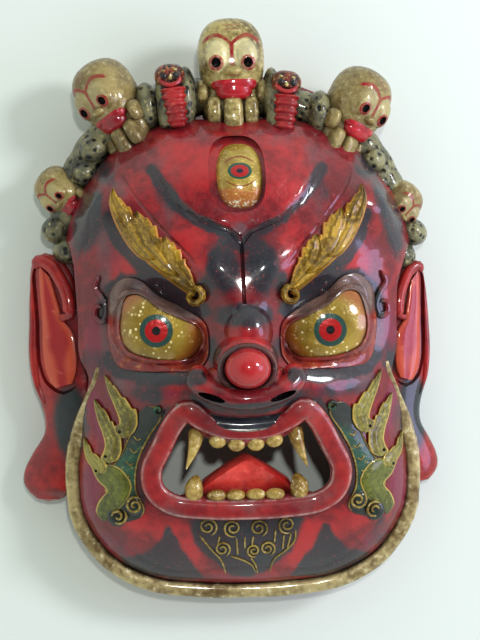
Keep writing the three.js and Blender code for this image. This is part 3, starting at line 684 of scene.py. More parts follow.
gilt("brow_gold", colour(0.12, 0.060, 0.004), colour(0.46, 0.265, 0.016),
     colour(0.72, 0.48, 0.09), 90,
     extra=leaf_paint(colour(0.62, 0.26, 0.035), colour(0.06, 0.030, 0.004), 0.12, 0.55))
LEAF_STEPS, LEAF_TEETH = 56, 6.5
BROW_LEAVES = [  # upper and lower edge of each
    ([(104, 113), (98, 104), (91, 97), (85.5, 89), (82, 77), (77, 64), (70, 50)],
     [(104, 113), (107.5, 101), (105, 87), (99, 73), (91, 60), (81, 51), (70, 50)]),
    ([(85, 92), (77, 87), (69, 80), (63.5, 68), (60, 57), (56, 47), (51, 36)],
     [(85, 92), (90.5, 80), (90, 68), (84, 56), (74, 45), (63, 38), (51, 36)]),
    ([(62, 70), (54, 64), (47, 55), (44, 45), (41, 37), (39.5, 31), (36, 24)],
     [(62, 70), (69, 59), (70, 47), (64, 37), (55, 30), (46, 25), (36, 24)]),
]
BROW_FOOT = ([(104, 100), (93, 80), (81, 64), (67, 50), (53, 38), (42, 29), (36, 24)],
             [(107, 97), (102, 80), (91, 62), (77, 48), (62, 35), (49, 25), (38, 18)])
for side in SIDES:
    low, high = [smooth(mirrored(points, side), 44) for points in BROW_FOOT]
    strip(RAISED, low, high, 4.6, 16, "brow_gold", round_off=0.8)
    for number, (upper, lower) in enumerate(BROW_LEAVES):
        high, low = [smooth(mirrored(points, side), LEAF_STEPS) for points in (upper, lower)]
        teeth = []
        for k, (a, b) in enumerate(zip(high, low)):
            t = k / (LEAF_STEPS - 1)
            notch = 0.13 * ((t * LEAF_TEETH) % 1.0) * clamp((0.62 - t) / 0.1) * clamp(t / 0.06)
            teeth.append(a.lerp(b, notch))
        strip(RAISED, teeth, low, 6.6 - 0.6 * number, 24, "brow_gold",
              round_off=0.55, flutes=2.5, flute_depth=0.9)
    curl = [(side * (40 - (8 - 0.45 * k) * math.sin(0.55 * k)),
             20 + (8 - 0.45 * k) * math.cos(0.55 * k)) for k in range(13)]
    roll(RAISED, on_face(curl, 4.0), 2.9, 4.6, 8, "brow_gold", grow=tapered(0.5, 0.4))

# Temples: a small curled lock behind each eye, 40 mm tall, in low relief and lacquered like
# the head.
for side in SIDES:
    lock = smooth([(side * 119, 40), (side * 123, 30), (side * 117, 20), (side * 114, 10),
                   (side * 118, 1), (side * 124, 5), (side * 122, 14), (side * 117, 13)], 34)
    roll(RAISED, on_face(lock, 1.5), 2.6, 3.4, 8, "lacquer", grow=tapered(0.3, 0.1))

# Nose: a short bridge, a round tip set in a ring, and wings that run under it as one roll with
# a slit for each nostril; lacquered, the ring in grey-green.
plain_paint("nose_ring_grey", colour(0.03, 0.012, 0.014), colour(0.13, 0.035, 0.03),
            colour(0.2, 0.2, 0.16), 90, sheen=0.5, edge=0.5)
plain_paint("deep_hole", colour(0.004, 0.003, 0.003), colour(0.012, 0.008, 0.008),
            colour(0.02, 0.015, 0.01))


def ball(group, centre, radii, across, paint, turn=None, chart=None, blunt=1.0):
    """A round lump, boxy if blunt is under 1; its chart is its own flat place."""
    bm = carving(group)
    bmesh.ops.create_uvsphere(bm, u_segments=across, v_segments=max(4, across // 2), radius=1)
    for v in bm.verts:
        v.co = Vector([math.copysign(abs(value) ** blunt * reach, value)
                       for value, reach in zip(v.co, radii)])
    cover(bm, paint, lambda co: (co.x, co.y))
    for v in bm.verts:
        v.co = (turn or Matrix()) @ v.co + Vector(centre)
    if chart:
        cover(bm, paint, chart)


ball(RAISED, (3, -10, 108), (21, 26, 24), 36, "lacquer")
ball(RAISED, (0, -34, 118), (27, 24, 26), 36, "lacquer")
WINGS = [(-33, -37, 121), (-40, -47, 125), (-31, -56, 131), (-14, -62, 135), (0, -63.5, 136),
         (14, -62, 135), (31, -56, 131), (40, -47, 125), (33, -37, 121)]
roll(RAISED, smooth(WINGS, 46), 9.5, 11.5, 18, "lacquer", grow=tapered())
ball(RAISED, (0, -50, 112), (38, 19, 26), 32, "lacquer")
TIP_X, RING_Y, RING_Z = 0.6, -39.5, 141
ring_path = [Vector((TIP_X + 21.5 * math.sin(a), RING_Y + 18.5 * math.cos(a),
                     RING_Z + 3 * math.cos(a)))
             for a in [2 * math.pi * k / 48 for k in range(48)]]
roll(RAISED, ring_path, 2.8, 3.8, 10, "nose_ring_grey", closed=True)
ball(RAISED, (TIP_X, RING_Y + 1, RING_Z + 7), (18.3, 16.3, 18), 40, "lacquer")
for side in SIDES:
    ball(CUTS, (side * 28, -61.5, 139), (12, 2.8, 13), 20, "deep_hole",
         turn=Matrix.Rotation(side * 0.32, 4, "Z"))

# Mouth: flat lips round an opening cut right through, a dark moustache band with a worn gilt
# edge over them, gums with teeth and fangs, and the tongue behind the lower teeth.
place = new_paint("lip_red")
u, v = chart_of(place)
broad, grain, smear = place.noise(22, 4), place.noise(130, 3), place.noise(34, 4)
base = patches(broad, grain).mix(colour(0.19, 0.012, 0.016), colour(0.42, 0.026, 0.024))
base = (smear.between(0.47, 0.7) * 0.55).mix(base, colour(0.17, 0.075, 0.075))
edges = 1 - (((v - 0.25).size() - 0.135).size() - 0.022).between(0.0, 0.022)
base = (edges * (grain * 3 + smear * 1.5 - 1.75).clip() * 0.7).mix(base, colour(0.50, 0.34, 0.31))
finish(place, base, rough=0.3 + grain * 0.2, bump=grain + broad * 1.5, depth=0.0007, coat=0.7)
plain_paint("gum_red", colour(0.14, 0.010, 0.018), colour(0.32, 0.022, 0.03),
            colour(0.5, 0.2, 0.2), 60, amount=0.5)
plain_paint("tongue_red", colour(0.48, 0.016, 0.014), colour(0.90, 0.075, 0.055),
            colour(0.9, 0.3, 0.2), 50, amount=0.4)
plain_paint("dark_band", colour(0.008, 0.010, 0.014), colour(0.028, 0.03, 0.038),
            colour(0.25, 0.24, 0.23), 60, amount=0.6, sheen=0.4)
gilt("worn_gilt", colour(0.05, 0.04, 0.035), colour(0.34, 0.29, 0.22), colour(0.8, 0.78, 0.7), 70)
gilt("tooth_gold", colour(0.20, 0.10, 0.012), colour(0.56, 0.39, 0.10),
     colour(0.85, 0.78, 0.5), 80, metal=0.1, edge=0.6)
LIP_HALF = [(0, -93), (20, -90.5), (36, -82), (48, -74), (58, -82), (70, -104), (79, -124),
            (76, -141), (62, -152), (34, -156.5), (0, -157.5)]
LIP_STEPS = 132
lip_loop = smooth(LIP_HALF + mirrored(LIP_HALF[-2:0:-1]), LIP_STEPS, closed=True)
plug(OPENINGS, lip_loop, (0, -122), OVER_ALL, -10, "gum_red")


def lip_size(t):
    at = lip_loop[round(t * LIP_STEPS) % LIP_STEPS]
    if at.y > -98 and abs(at.x) < 42:
        return 0.62 + 0.38 * (at.x / 42) ** 2
    return 1.0


roll(MOUTH, on_face(lip_loop, 2.2), 9.0, 7.2, 18, "lip_red", grow=lip_size,
     closed=True, square=0.62)
band_arc = smooth([(-56, -70), (-34, -82), (0, -87), (34, -82), (56, -70)], 40)
roll(RAISED, on_face(band_arc, 1), 7.5, 5.5, 12, "dark_band", grow=tapered(0.2, 0.2))
edge_arc = smooth([(-55, -68), (-47, -77.5), (-31, -86), (0, -90.5), (31, -86), (47, -77.5),
                   (55, -68)], 48)
roll(RAISED, on_face(edge_arc, 4.4), 2.0, 2.4, 8, "worn_gilt", grow=tapered(0.3, 0.3))
for side in SIDES:
    patch = smooth([(side * 57, -68), (side * 50, -76), (side * 42, -81.5)], 14)
    roll(RAISED, on_face(patch, 3.4), 4.2, 3.2, 10, "worn_gilt", grow=tapered(0.2, 0.2))

upper_z, lower_z = face_height(0, -100), face_height(0, -150)
UPPER_TEETH, LOWER_TEETH = (-23.5, -8.2, 7.6, 22.8), (-25, -9.5, 7.5, 23.5)
upper_gum = smooth([(-47, -80, upper_z - 8), (-24, -92, upper_z - 4), (0, -96, upper_z - 3),
                    (24, -92, upper_z - 4), (47, -80, upper_z - 8)], 36)
roll(MOUTH, upper_gum, 7.5, 9, 12, "gum_red", grow=tapered(0.4, 0.4))
for x in UPPER_TEETH:
    ball(MOUTH, (x, -102 + 0.006 * x * x, upper_z + 1), (7.4, 6.4, 6), 20, "tooth_gold")
for side in SIDES:
    fang = smooth([(side * 40, -88, upper_z - 8), (side * 43, -103, upper_z - 2),
                   (side * 50, -122, upper_z - 1)], 18)
    roll(MOUTH, fang, 7.4, 6.6, 14, "tooth_gold",
         grow=lambda t: math.sqrt(clamp(t / 0.1)) * (1 - 0.95 * t ** 1.3))
    stub = smooth([(side * 43, -150, lower_z - 4), (side * 44, -140, lower_z),
                   (side * 41, -128, lower_z - 1)], 14)
    roll(MOUTH, stub, 7.6, 7.6, 14, "tooth_gold",
         grow=lambda t: math.sqrt(clamp(t / 0.2)) * math.sqrt(clamp((1 - t) / 0.45)))
lower_gum = smooth([(-56, -148, lower_z - 8), (-28, -152, lower_z - 4), (0, -153, lower_z - 3),
                    (28, -152, lower_z - 4), (56, -148, lower_z - 8)], 36)
roll(MOUTH, lower_gum, 6.5, 9, 12, "gum_red", grow=tapered(0.4, 0.4))
for x in LOWER_TEETH:
    ball(MOUTH, (x, -145.5, lower_z + 1), (8.4, 5.2, 6.5), 20, "tooth_gold")


TONGUE_HALF = 40


def tongue_skin(t, turn):
    x = -TONGUE_HALF + 2 * TONGUE_HALF * t
    ridge = -113 - 25 * (abs(x) / TONGUE_HALF) ** 1.15
    edge = [(-150, -26), (-150, -10), ((ridge - 150) / 2, -4), (ridge - 4, 0), (ridge, -6),
            (ridge + 1, -26)]
    y, z = (-143, -16) if t in (0.0, 1.0) else edge[round(turn * 6) % 6]
    return Vector((x, y, lower_z + z))


skin(MOUTH, 24, 6, tongue_skin, "tongue_red")

# Beard rim: a gilded roll, 13 mm wide, carved along the whole jaw. Its upper ends are drawn in
# over the cheeks and thin out beside the ears.
gilt("rim_gilt", colour(0.15, 0.09, 0.03), colour(0.55, 0.44, 0.20),
     colour(0.86, 0.80, 0.56), 60, edge=1.0)
RIM_INSET, RIM_STEPS = 19, 140
start = math.atan2(BEARD_TOP_Y - MIDDLE_Y, HALF_WIDTH)
sweep = -math.pi - 2 * start
rim_path = []
for i in range(RIM_STEPS + 1):
    angle = start + sweep * i / RIM_STEPS
    climb = soft_step((MIDDLE_Y + head_radius(angle) * math.sin(angle) + 122) / 80)
    reach = head_radius(angle) - RIM_WIDTH / 2 - RIM_INSET * climb
    x, y = reach * math.cos(angle), MIDDLE_Y + reach * math.sin(angle)
    level = SIDE_HEIGHT + 0.4 * math.sin(9 * angle)
    rim_path.append(Vector((x, y, level + climb * (face_height(x, y) - level - 3))))
roll(RAISED, rim_path, RIM_WIDTH / 2, 9.0, 16, "rim_gilt", square=0.55,
     grow=lambda t: min(1.0, 0.35 + 7 * min(t, 1 - t)) * (1 + 0.02 * math.sin(60 * t)))

# Whiskers: flames in low relief on each cheek that end in a hooked bulb, a green leaf under
# them, an emerald field beside the lips with two small spirals; all edged in gold line.
gilt("whisker_gold", colour(0.11, 0.085, 0.012), colour(0.34, 0.29, 0.05),
     colour(0.55, 0.46, 0.14), 90, metal=0.1,
     extra=leaf_paint(colour(0.60, 0.40, 0.08), colour(0.035, 0.035, 0.008), 0.13, 0.35))
gilt("leaf_green", colour(0.045, 0.050, 0.006), colour(0.15, 0.165, 0.018),
     colour(0.3, 0.27, 0.05), 90, metal=0.0,
     extra=leaf_paint(colour(0.56, 0.40, 0.08), colour(0.06, 0.075, 0.01), 0.08, 0.35))


def field_paint(place, base, broad, grain):
    """Emerald in the middle of the field, dark at its two ends."""
    u, v = chart_of(place)
    along = u + (broad - 0.5) * 0.35
    green = along.between(0.16, 0.42) * (1 - along.between(0.72, 0.92))
    return green.mix(colour(0.020, 0.026, 0.022), base)


gilt("emerald", colour(0.016, 0.045, 0.030), colour(0.022, 0.11, 0.055),
     colour(0.30, 0.24, 0.07), 60, metal=0.0, edge=0.4, extra=field_paint)
gilt("scroll_gold", colour(0.16, 0.10, 0.02), colour(0.42, 0.30, 0.07),
     colour(0.75, 0.62, 0.28), 120)
FLAMES = [  # outer and inner edge of each
    ([(117.6, -43), (110.8, -50), (102, -60), (94, -68), (88.5, -75), (89, -84), (93, -92),
      (100.5, -97)],
     [(117.6, -43), (114, -57), (109.5, -69), (106, -79), (105.5, -85), (110.5, -87.5),
      (108.5, -93.5), (100.5, -97)]),
    ([(127, -63.5), (120, -70), (113, -78), (108, -87), (102.8, -96), (103, -106),
      (107, -114.5), (114.5, -118)],
     [(127, -63.5), (126, -73), (123.4, -84), (120, -93), (118, -103), (119.5, -108.5),
      (122, -114), (114.5, -118)]),
    ([(137, -97), (131.5, -103), (128, -109), (121, -113), (115.5, -118), (117, -125),
      (124.5, -127)],
     [(137, -97), (137, -108), (134, -117.5), (130, -122), (129, -125), (127, -127),
      (124.5, -127)]),
]
GREEN_LEAF = ([(131, -120), (125, -133), (117.5, -141), (124, -150), (127, -160), (120.4, -168.5)],
              [(124.6, -118), (106, -121), (95.5, -135), (98.5, -147), (107, -157),
               (120.4, -168.5)])
FIELD = ([(84, -69), (71, -72), (70, -79), (79.5, -94), (88, -110), (92.5, -127), (92, -142),
          (86, -157), (91, -166)],
         [(89, -74), (92, -86), (97, -96), (103, -109), (112, -122), (118, -136),
          (115, -150), (111, -160), (100, -169)])
SPIRALS = [(108, -162.5, 7.6, 1), (93.5, -153, 7.6, -1)]  # place, radius, spin


def spiral(x, y, radius, spin, turns=1.6, count=30, start=0.0):
    out = []
    for k in range(count):
        share = k / (count - 1)
        angle = start + spin * 2 * math.pi * turns * share
        reach = radius * (1 - 0.82 * share)
        out.append((x + reach * math.cos(angle), y + reach * math.sin(angle)))
    return out


for side in SIDES:
    a, b = [smooth(mirrored(points, side), 56) for points in FIELD]
    strip(RAISED, a, b, 1.1, 20, "emerald", sink=3, round_off=0.35)
    for edge in (a, b):
        roll(RAISED, on_face(edge[2:-2], 0.6), 0.9, 1.1, 6, "scroll_gold", grow=tapered(0.3, 0.3))
    a, b = [smooth(mirrored(points, side), 44) for points in GREEN_LEAF]
    strip(RAISED, a, b, 3.0, 20, "leaf_green", round_off=0.4, flutes=1.5, flute_depth=0.4)
    for points in FLAMES:
        a, b = [smooth(mirrored(edge, side), 60) for edge in points]
        a = [p.lerp(q, 0.17 * ((k * 0.092) % 1.0) * clamp(k / 6) * clamp((44 - k) / 8))
             for k, (p, q) in enumerate(zip(a, b))]
        strip(RAISED, a, b, 4.0, 22, "whisker_gold", round_off=0.42, flutes=2, flute_depth=0.7)
        hook = b[-11].lerp(a[-11], 0.25)
        ball(CUTS, (hook.x, hook.y, face_height(hook.x, hook.y) + 5), (1.6, 1.6, 4), 10,
             "deep_hole")
    for k in range(5):
        x, y = side * (90 + 3.4 * k), -98 - 10.5 * k
        tick = [(x - side * 3.5, y + 1.5), (x, y), (x + side * 3, y + 3.5)]
        roll(RAISED, on_face(smooth(tick, 8), 1.3), 0.7, 0.9, 6, "scroll_gold",
             grow=tapered(0.3, 0.3))
    for x, y, radius, spin in SPIRALS:
        ball(RAISED, (side * x, y, face_height(x, y) - 0.5),
             (radius + 1.4, radius + 1.4, 3.6), 22, "emerald")
        coil = spiral(side * x, y, radius, side * spin, start=0.8)
        roll(RAISED, on_face(coil, 3.0), 1.25, 1.7, 6, "scroll_gold", grow=tapered(0.4, 0.2))
    curl = spiral(side * 72, -73, 4.5, side, turns=1.2, count=20)
    roll(RAISED, on_face(curl, 1.6), 1.4, 1.9, 6, "emerald", grow=tapered(0.4, 0.2))

# Chin scrolls: seven small spirals under the lower lip and their stems, all in a raised gold
# line on the lacquer.
CHIN_SPIRALS = [(-33, -172.5, 8.2, 1), (-12, -174, 8, -1), (9.5, -174.5, 8, 1),
                (33.5, -172.5, 7.8, -1), (-21, -192.5, 7, 1), (5.5, -194.5, 6, -1),
                (17, -193, 6.8, 1)]
STEMS = [
    [(-40, -180), (-31, -192), (-22, -203), (-18, -216)],
    [(-14, -199), (-4, -203), (4, -208), (8, -216)],
    [(3, -201), (7, -208), (9, -216)],
    [(41, -177), (40, -187), (32, -196), (23, -203), (19, -216)],
    [(-23, -181), (-25, -189)], [(-9, -183), (-8, -198)], [(-2, -182), (-2, -192)],
    [(5, -182), (4, -190)], [(24, -176), (23, -188)], [(31, -181), (30, -194)],
    [(37, -180), (34, -194)],
]
for x, y, radius, spin in CHIN_SPIRALS:
    coil = spiral(x, y, radius, spin, turns=1.7, count=34, start=-1.2)
    roll(RAISED, on_face(coil, 0.4), 1.05, 1.6, 6, "scroll_gold", grow=tapered(0.4, 0.2))
for points in STEMS:
    roll(RAISED, on_face(smooth(points, 16), 0.2), 0.9, 1.4, 6, "scroll_gold",
         grow=tapered(0.3, 0.3))

# Ears: long, with a rolled outer rim, a deep line inside it, a hooked fold and a banded tongue,
# and a heavy lobe; the head's side is cut back behind them. The left one stands 18 mm further
# out than the right, as it was carved.

# height, outer edge and inner edge as shares from the root to the outermost point
EAR_LEVELS = [(59, 0.67, 0.58), (56.5, 0.79, 0.42), (50, 0.89, 0.25), (40, 0.945, 0.10),
              (24, 0.965, 0.0), (0, 0.975, -0.12), (-32, 1.0, -0.2), (-56, 0.94, -0.2),
              (-72, 0.80, -0.2), (-86, 0.72, -0.2), (-99, 0.75, -0.15), (-115, 0.98, -0.05),
              (-130, 1.16, 0.06), (-142, 1.18, 0.15), (-150, 1.06, 0.27), (-156, 0.88, 0.46),
              (-157.5, 0.76, 0.6)]
EAR_LINE = [(0.78, 50), (0.85, 41), (0.84, 22), (0.82, 0), (0.82, -22), (0.78, -40), (0.61, -56),
            (0.32, -63), (0.06, -57)]
EAR_TONGUE = ([(0.74, 50), (0.755, 38), (0.735, 1), (0.73, -28), (0.66, -46), (0.46, -59),
               (0.30, -61)],
              [(0.58, 50), (0.50, 36), (0.38, 14), (0.28, 0), (0.12, -10), (0.05, -25),
               (0.05, -43), (0.16, -57)])
EAR_HOOK = [(0.84, 46), (0.70, 52), (0.52, 48), (0.36, 38), (0.22, 25), (0.16, 11), (0.21, 3),
            (0.34, 2)]
HOOK_LINE = [(0.70, 46), (0.54, 39), (0.39, 27), (0.31, 16), (0.32, 9)]
# edge of the head behind each ear and outside the beard rim, where the side is cut back
EAR_BAYS = {
    -1: [(-150, 74), (-143, 58), (-140.5, 30), (-139.5, 0), (-139, -28), (-131, -46),
         (-135, -66), (-141, -86), (-149, -110), (-175, -122), (-190, -60), (-190, 40),
         (-172, 80)],
    1: [(150, 66), (143, 52), (135, 30), (132.5, 0), (132, -25), (127, -46), (133, -70),
        (142, -94), (150, -116), (172, -126), (190, -60), (190, 40), (172, 76)],
}
place = new_paint("ear_red")
dark = laid(place, "shade", 0)
broad, grain = place.noise(24, 4), place.noise(130, 3)
base = patches(broad, grain).mix(colour(0.19, 0.006, 0.009), colour(0.44, 0.022, 0.015))
# Dark teal at the ear's neck from the laid values: partly paint, partly painted shade behind the
# ear.
base = ((dark * 1.3 + (broad - 0.5) * 0.8 - 0.1).between(0.15, 0.8) * 0.95).mix(
    base, colour(0.012, 0.032, 0.034))
finish(place, base, rough=0.28 + grain * 0.2, bump=grain + broad * 1.5, depth=0.0007,
       coat=0.65, crevice_shade_colour=colour(0.05, 0.004, 0.008), crevice_shade_amount=0.85)
place = new_paint("ear_orange")
u, v = chart_of(place)
broad, grain = place.noise(24, 4), place.noise(130, 3)
across = across_strip(v)
core = (across - 0.5).size() + (broad - 0.5) * 0.35 + (u - 0.5).size() * 0.3
core = core + ((u * 17).wave() * 0.5 + 0.5) * 0.12
base = core.between(0.20, 0.46).mix(colour(0.36, 0.010, 0.012), colour(0.56, 0.075, 0.032))
base = ((grain - 0.6) * 4).clip().mix(base, colour(0.66, 0.14, 0.07))
finish(place, base, rough=0.3 + grain * 0.2, bump=grain + broad * 1.5, depth=0.0007,
       coat=0.6, crevice_shade_colour=colour(0.08, 0.006, 0.01), crevice_shade_amount=0.8)
ear_levels = smooth(EAR_LEVELS, 80)
EARS = [(-1, 140, 184, 1.0, 3), (1, 132, 166, 0.91, -2.6)]  # side, root, reach, height, shift
for side, root, out, tall, drop in EARS:
    span = out - root
    plug(SOCKETS, smooth(EAR_BAYS[side], 96, closed=True), (side * 160, -20), OVER_ALL, 32,
         "lacquer")

    def ear_z(x):
        return 26 + (out - abs(x)) * 0.35

    def at_ear(points, rise=0.0):
        return [Vector((side * (root + p[0] * span), p[1] * tall + drop,
                        ear_z(root + p[0] * span) + rise)) for p in points]

    def ear_skin(t, turn):
        y, outer, inner = ear_levels[round(t * 79)]
        middle, wide = root + span * (outer + inner) / 2, span * (outer - inner) / 2
        ends = t in (0.0, 1.0)
        c, s = round_turn(turn, 0.7)
        x = middle + (0.0 if ends else wide * c)
        thick = 9 * (1 if 0.03 < t < 0.97 else 0.75) * (0.2 if ends else 1)
        return Vector((side * x, y * tall + drop, ear_z(x) - 9 + thick * s))
    skin(RAISED, 79, 28, ear_skin, "ear_red")
    line = at_ear(smooth(EAR_LINE, 60), 0.3)
    roll(CUTS, line, 1.8, 4.6, 8, "ear_red", grow=tapered(0.3, 0.2))
    a, b = [[Vector((p.x, p.y, 0)) for p in at_ear(smooth(points, 44))] for points in EAR_TONGUE]
    strip(RAISED, a, b, 4.6, 20, "ear_orange", sink=5, round_off=0.6, flutes=1,
          flute_depth=0.5, base=lambda x, y, across: ear_z(x))
    roll(RAISED, at_ear(smooth(EAR_HOOK, 44), 3.2), 0.115 * span + 0.8, 5.4, 14,
         "ear_red", grow=tapered(0.6, 0.3))
    roll(CUTS, at_ear(smooth(HOOK_LINE, 30), 4.6), 0.9, 3.6, 8, "ear_red", grow=tapered(0.3, 0.3))
    lip = at_ear(smooth([(outer - 0.09, y) for y, outer, inner in EAR_LEVELS[2:9]], 56), -2.0)
    roll(RAISED, lip, 0.10 * span, 3.4, 14, "ear_red",
         grow=lambda t: 0.1 + 0.9 * math.sin(math.pi * t) ** 0.6)

# Crown of skulls: five grinning skulls, the middle one 60 mm wide, each with a tall brow, two
# swollen sockets with round holes, a button of a nose, a red muzzle and long teeth, all gilded.


def skull_lines(place, base, broad, grain):
    """The red lines painted on a skull: arched brows, the nose's line, rims and wrinkles; also
    painted shade and highlight.
    """
    u, v = chart_of(place)
    side = u.size()
    arch = (side * (math.pi / 27)).wave() * 8 + 21
    brow = 1 - ((v - arch).size() - 1.4).between(0.0, 1.0)
    brow = brow * (1 - side.between(22, 25))
    nose_line = (1 - (side - 1.1).between(0.0, 1.2)) * v.between(2, 4) * (1 - v.between(20, 22))
    hole = ((side - 13.5).power(2.0) + (v - 5.0).power(2.0)).power(0.5)
    rim = 1 - (hole - 6.0).between(0.0, 0.8)
    ripple = (u * 1.2).wave() * 0.5
    wrinkle = ((v - 33 + ripple) * (math.pi / 1.9)).wave().between(0.55, 0.9)
    wrinkle = wrinkle * v.between(31, 33) * (1 - v.between(39, 41)) * (1 - side.between(5, 8))
    line = (brow + nose_line + rim + wrinkle * 0.7).clip() * (grain * 1.8 - 0.1).clip()
    base = ((broad * 1.3 + grain * 0.5 - 1.1) * 4).clip().mix(base, colour(0.06, 0.04, 0.016))
    swell = ((side - 11.5).power(2.0) * 1.8 + (v - 12.0).power(2.0)).power(0.5)
    # Painted shade: the side skulls darker and browner than the middle one.
    from_middle = place.join("ShaderNodeSeparateXYZ", {0: place}, output=0).size()
    middle = 1 - from_middle.between(0.034, 0.05)
    base = ((1 - middle) * 0.5).mix(base, colour(0.20, 0.135, 0.05))
    # Painted highlight: pale gold on the swollen sockets, strongest on the middle skull.
    amount = (middle * 0.4 + 0.2) * (1 - swell.between(11.5, 15.5))
    base = amount.mix(base, colour(0.80, 0.72, 0.40))
    return line.mix(base, colour(0.30, 0.008, 0.014))


gilt("skull_gilt", colour(0.13, 0.085, 0.025), colour(0.52, 0.41, 0.14),
     colour(0.88, 0.82, 0.54), 80, metal=0.25, extra=skull_lines, crevice_shade_amount=1.0,
     crevice_shade_colour=colour(0.035, 0.020, 0.008))
plain_paint("skull_red", colour(0.22, 0.006, 0.012), colour(0.55, 0.010, 0.020),
            colour(0.6, 0.12, 0.14), edge=0.3)
SKULLS = [  # place, size, lean and turn to the side
    (0, 211, 50, 1, 0, 0), (-102, 186, 46, 0.88, 0.49, -0.7), (103, 176, 46, 0.88, -0.49, 0.7),
    (-146, 110, 34, 0.62, 0.85, -0.65), (137, 93, 34, 0.6, -0.75, 0.65),
]
SKULL_TEETH = ((-15.8, 6.4), (0, 8.6), (15.0, 6.6))  # place across and half width
for x, y, z, size, lean, yaw in SKULLS:
    seat = (Matrix.Translation((x, y, z)) @ Matrix.Rotation(lean, 4, "Z")
            @ Matrix.Rotation(yaw, 4, "Y") @ Matrix.Scale(size, 4))

    def lump(group, centre, radii, across, paint, turn=None, blunt=1.0):
        ball(group, centre, radii, max(12, int(across * (1 if size > 0.9 else 0.8))), paint,
             turn, chart=lambda co: (co.x, co.y), blunt=blunt)
        bmesh.ops.transform(group[-1], matrix=seat, verts=group[-1].verts)
    lump(RAISED, (0, 13, 0), (28.5, 34, 28), 48, "skull_gilt", blunt=0.78)
    lump(RAISED, (0, -22, -5), (26, 25, 20), 32, "skull_gilt", blunt=0.75)
    lump(RAISED, (1, -10, 12), (20, 8.5, 12.5), 32, "skull_red", blunt=0.8)
    lump(RAISED, (1, -15.5, 12), (16, 10, 12.1), 32, "skull_red", blunt=0.8)
    lump(RAISED, (0.8, -1.8, 26), (7.8, 4.4, 7.5), 20, "skull_gilt")
    for side in SIDES:
        lump(RAISED, (side * 12, 11, 17), (12, 16, 13.5), 32, "skull_gilt",
             Matrix.Rotation(side * 0.10, 4, "Z"), blunt=0.85)
        lump(CUTS, (side * 13.5, 5, 33), (4.3, 4.6, 11), 18, "deep_hole")
        lump(RAISED, (side * 25, -16, 5), (5.6, 10.5, 9), 18, "skull_gilt", blunt=0.75)
    for tooth_x, wide in SKULL_TEETH:
        lump(RAISED, (tooth_x, -36.5 + 0.014 * tooth_x ** 2, 10.5 - abs(tooth_x) / 5),
             (wide, 16 - abs(tooth_x) / 5, 12), 24, "skull_gilt", blunt=0.55)

# Snakes: thick pitted coils, painted dark, that link the skulls, and two small snakes with
# ringed red bellies that rear beside the middle skull.
place = new_paint("snake_scale")
pits, speckle = place.cells(150), place.noise(300, 2)
base = (place.noise(60, 3) * 1.6 - 0.3).between(0.2, 0.8).mix(
    colour(0.055, 0.055, 0.038), colour(0.27, 0.25, 0.125))
base = ((speckle - 0.6) * 8).clip().mix(base, colour(0.50, 0.42, 0.17))
base = (1 - pits.between(0.22, 0.34)).mix(base, colour(0.006, 0.008, 0.010))
finish(place, base, rough=0.4, metal=0.1, bump=pits.between(0.12, 0.5), depth=0.002, coat=0.5)
plain_paint("snake_belly", colour(0.17, 0.006, 0.010), colour(0.48, 0.016, 0.018),
            colour(0.6, 0.2, 0.12), 80, edge=0.4)
place = new_paint("snake_face")
spots, broad = place.cells(240), place.noise(90, 3)
base = (broad * 1.6 - 0.3).between(0.2, 0.8).mix(colour(0.035, 0.022, 0.018),
                                                colour(0.26, 0.040, 0.022))
base = ((place.noise(330, 2) - 0.57) * 8).clip().mix(base, colour(0.52, 0.34, 0.11))
base = (1 - spots.between(0.2, 0.32)).mix(base, colour(0.006, 0.006, 0.008))
finish(place, base, rough=0.35, bump=spots.between(0.12, 0.5), depth=0.0015)
gilt("snake_gold", colour(0.2, 0.13, 0.03), colour(0.6, 0.48, 0.16), colour(0.9, 0.8, 0.5), 120)
BODY_PATH = [(-149, 50, 22), (-148, 86, 27), (-138, 122, 32), (-112, 160, 38), (-70, 184, 42),
             (0, 196, 45), (70, 178, 42), (106, 156, 38), (131, 118, 32), (143, 78, 27),
             (143, 44, 22)]
COILS = [  # place, half width, half height and turn
    (-73, 184, 50, 11, 21, 0.1), (74, 176, 50, 11, 20, -0.1), (-40, 190, 52, 10, 28, 0),
    (34, 190, 52, 9, 26, 0), (-121, 149, 42, 14, 12, 0.6), (119, 135, 42, 12, 12, -0.6),
    (-130, 128, 38, 13, 11, 0.9), (125, 117, 38, 12, 11, -0.9), (-156, 82, 28, 14, 12, 0.4),
    (153, 74, 28, 14, 12, -0.4), (-146, 64, 28, 15, 13, 0.4), (142, 54, 28, 14, 13, -0.4),
]
roll(RAISED, smooth(BODY_PATH, 110), 15, 15, 16, "snake_scale",
     grow=lambda t: tapered(0.3, 0.3)(t) * (1 + 0.035 * math.sin(150 * t)))
for x, y, z, rx, ry, turn in COILS:
    ball(RAISED, (x, y, z), (rx, ry, 17), 22, "snake_scale", turn=Matrix.Rotation(turn, 4, "Z"))
BELLY = [Vector((1.2, -6 + 36 * k / 46, 3.5)) for k in range(47)]
SNAKE_BACK = smooth([(-3, -6, -3), (-3, 14, -2), (-2, 30, -2), (0, 38, -4)], 24)
SNAKE_LIP = smooth([(-9, 36, 9), (-6, 31.5, 12), (0, 29.5, 13.5), (6, 31.5, 12), (9, 36, 9)], 20)
SNAKE_SEATS = [(-49, 169, 64, 0.1), (41, 162, 64, -0.12)]  # place and lean
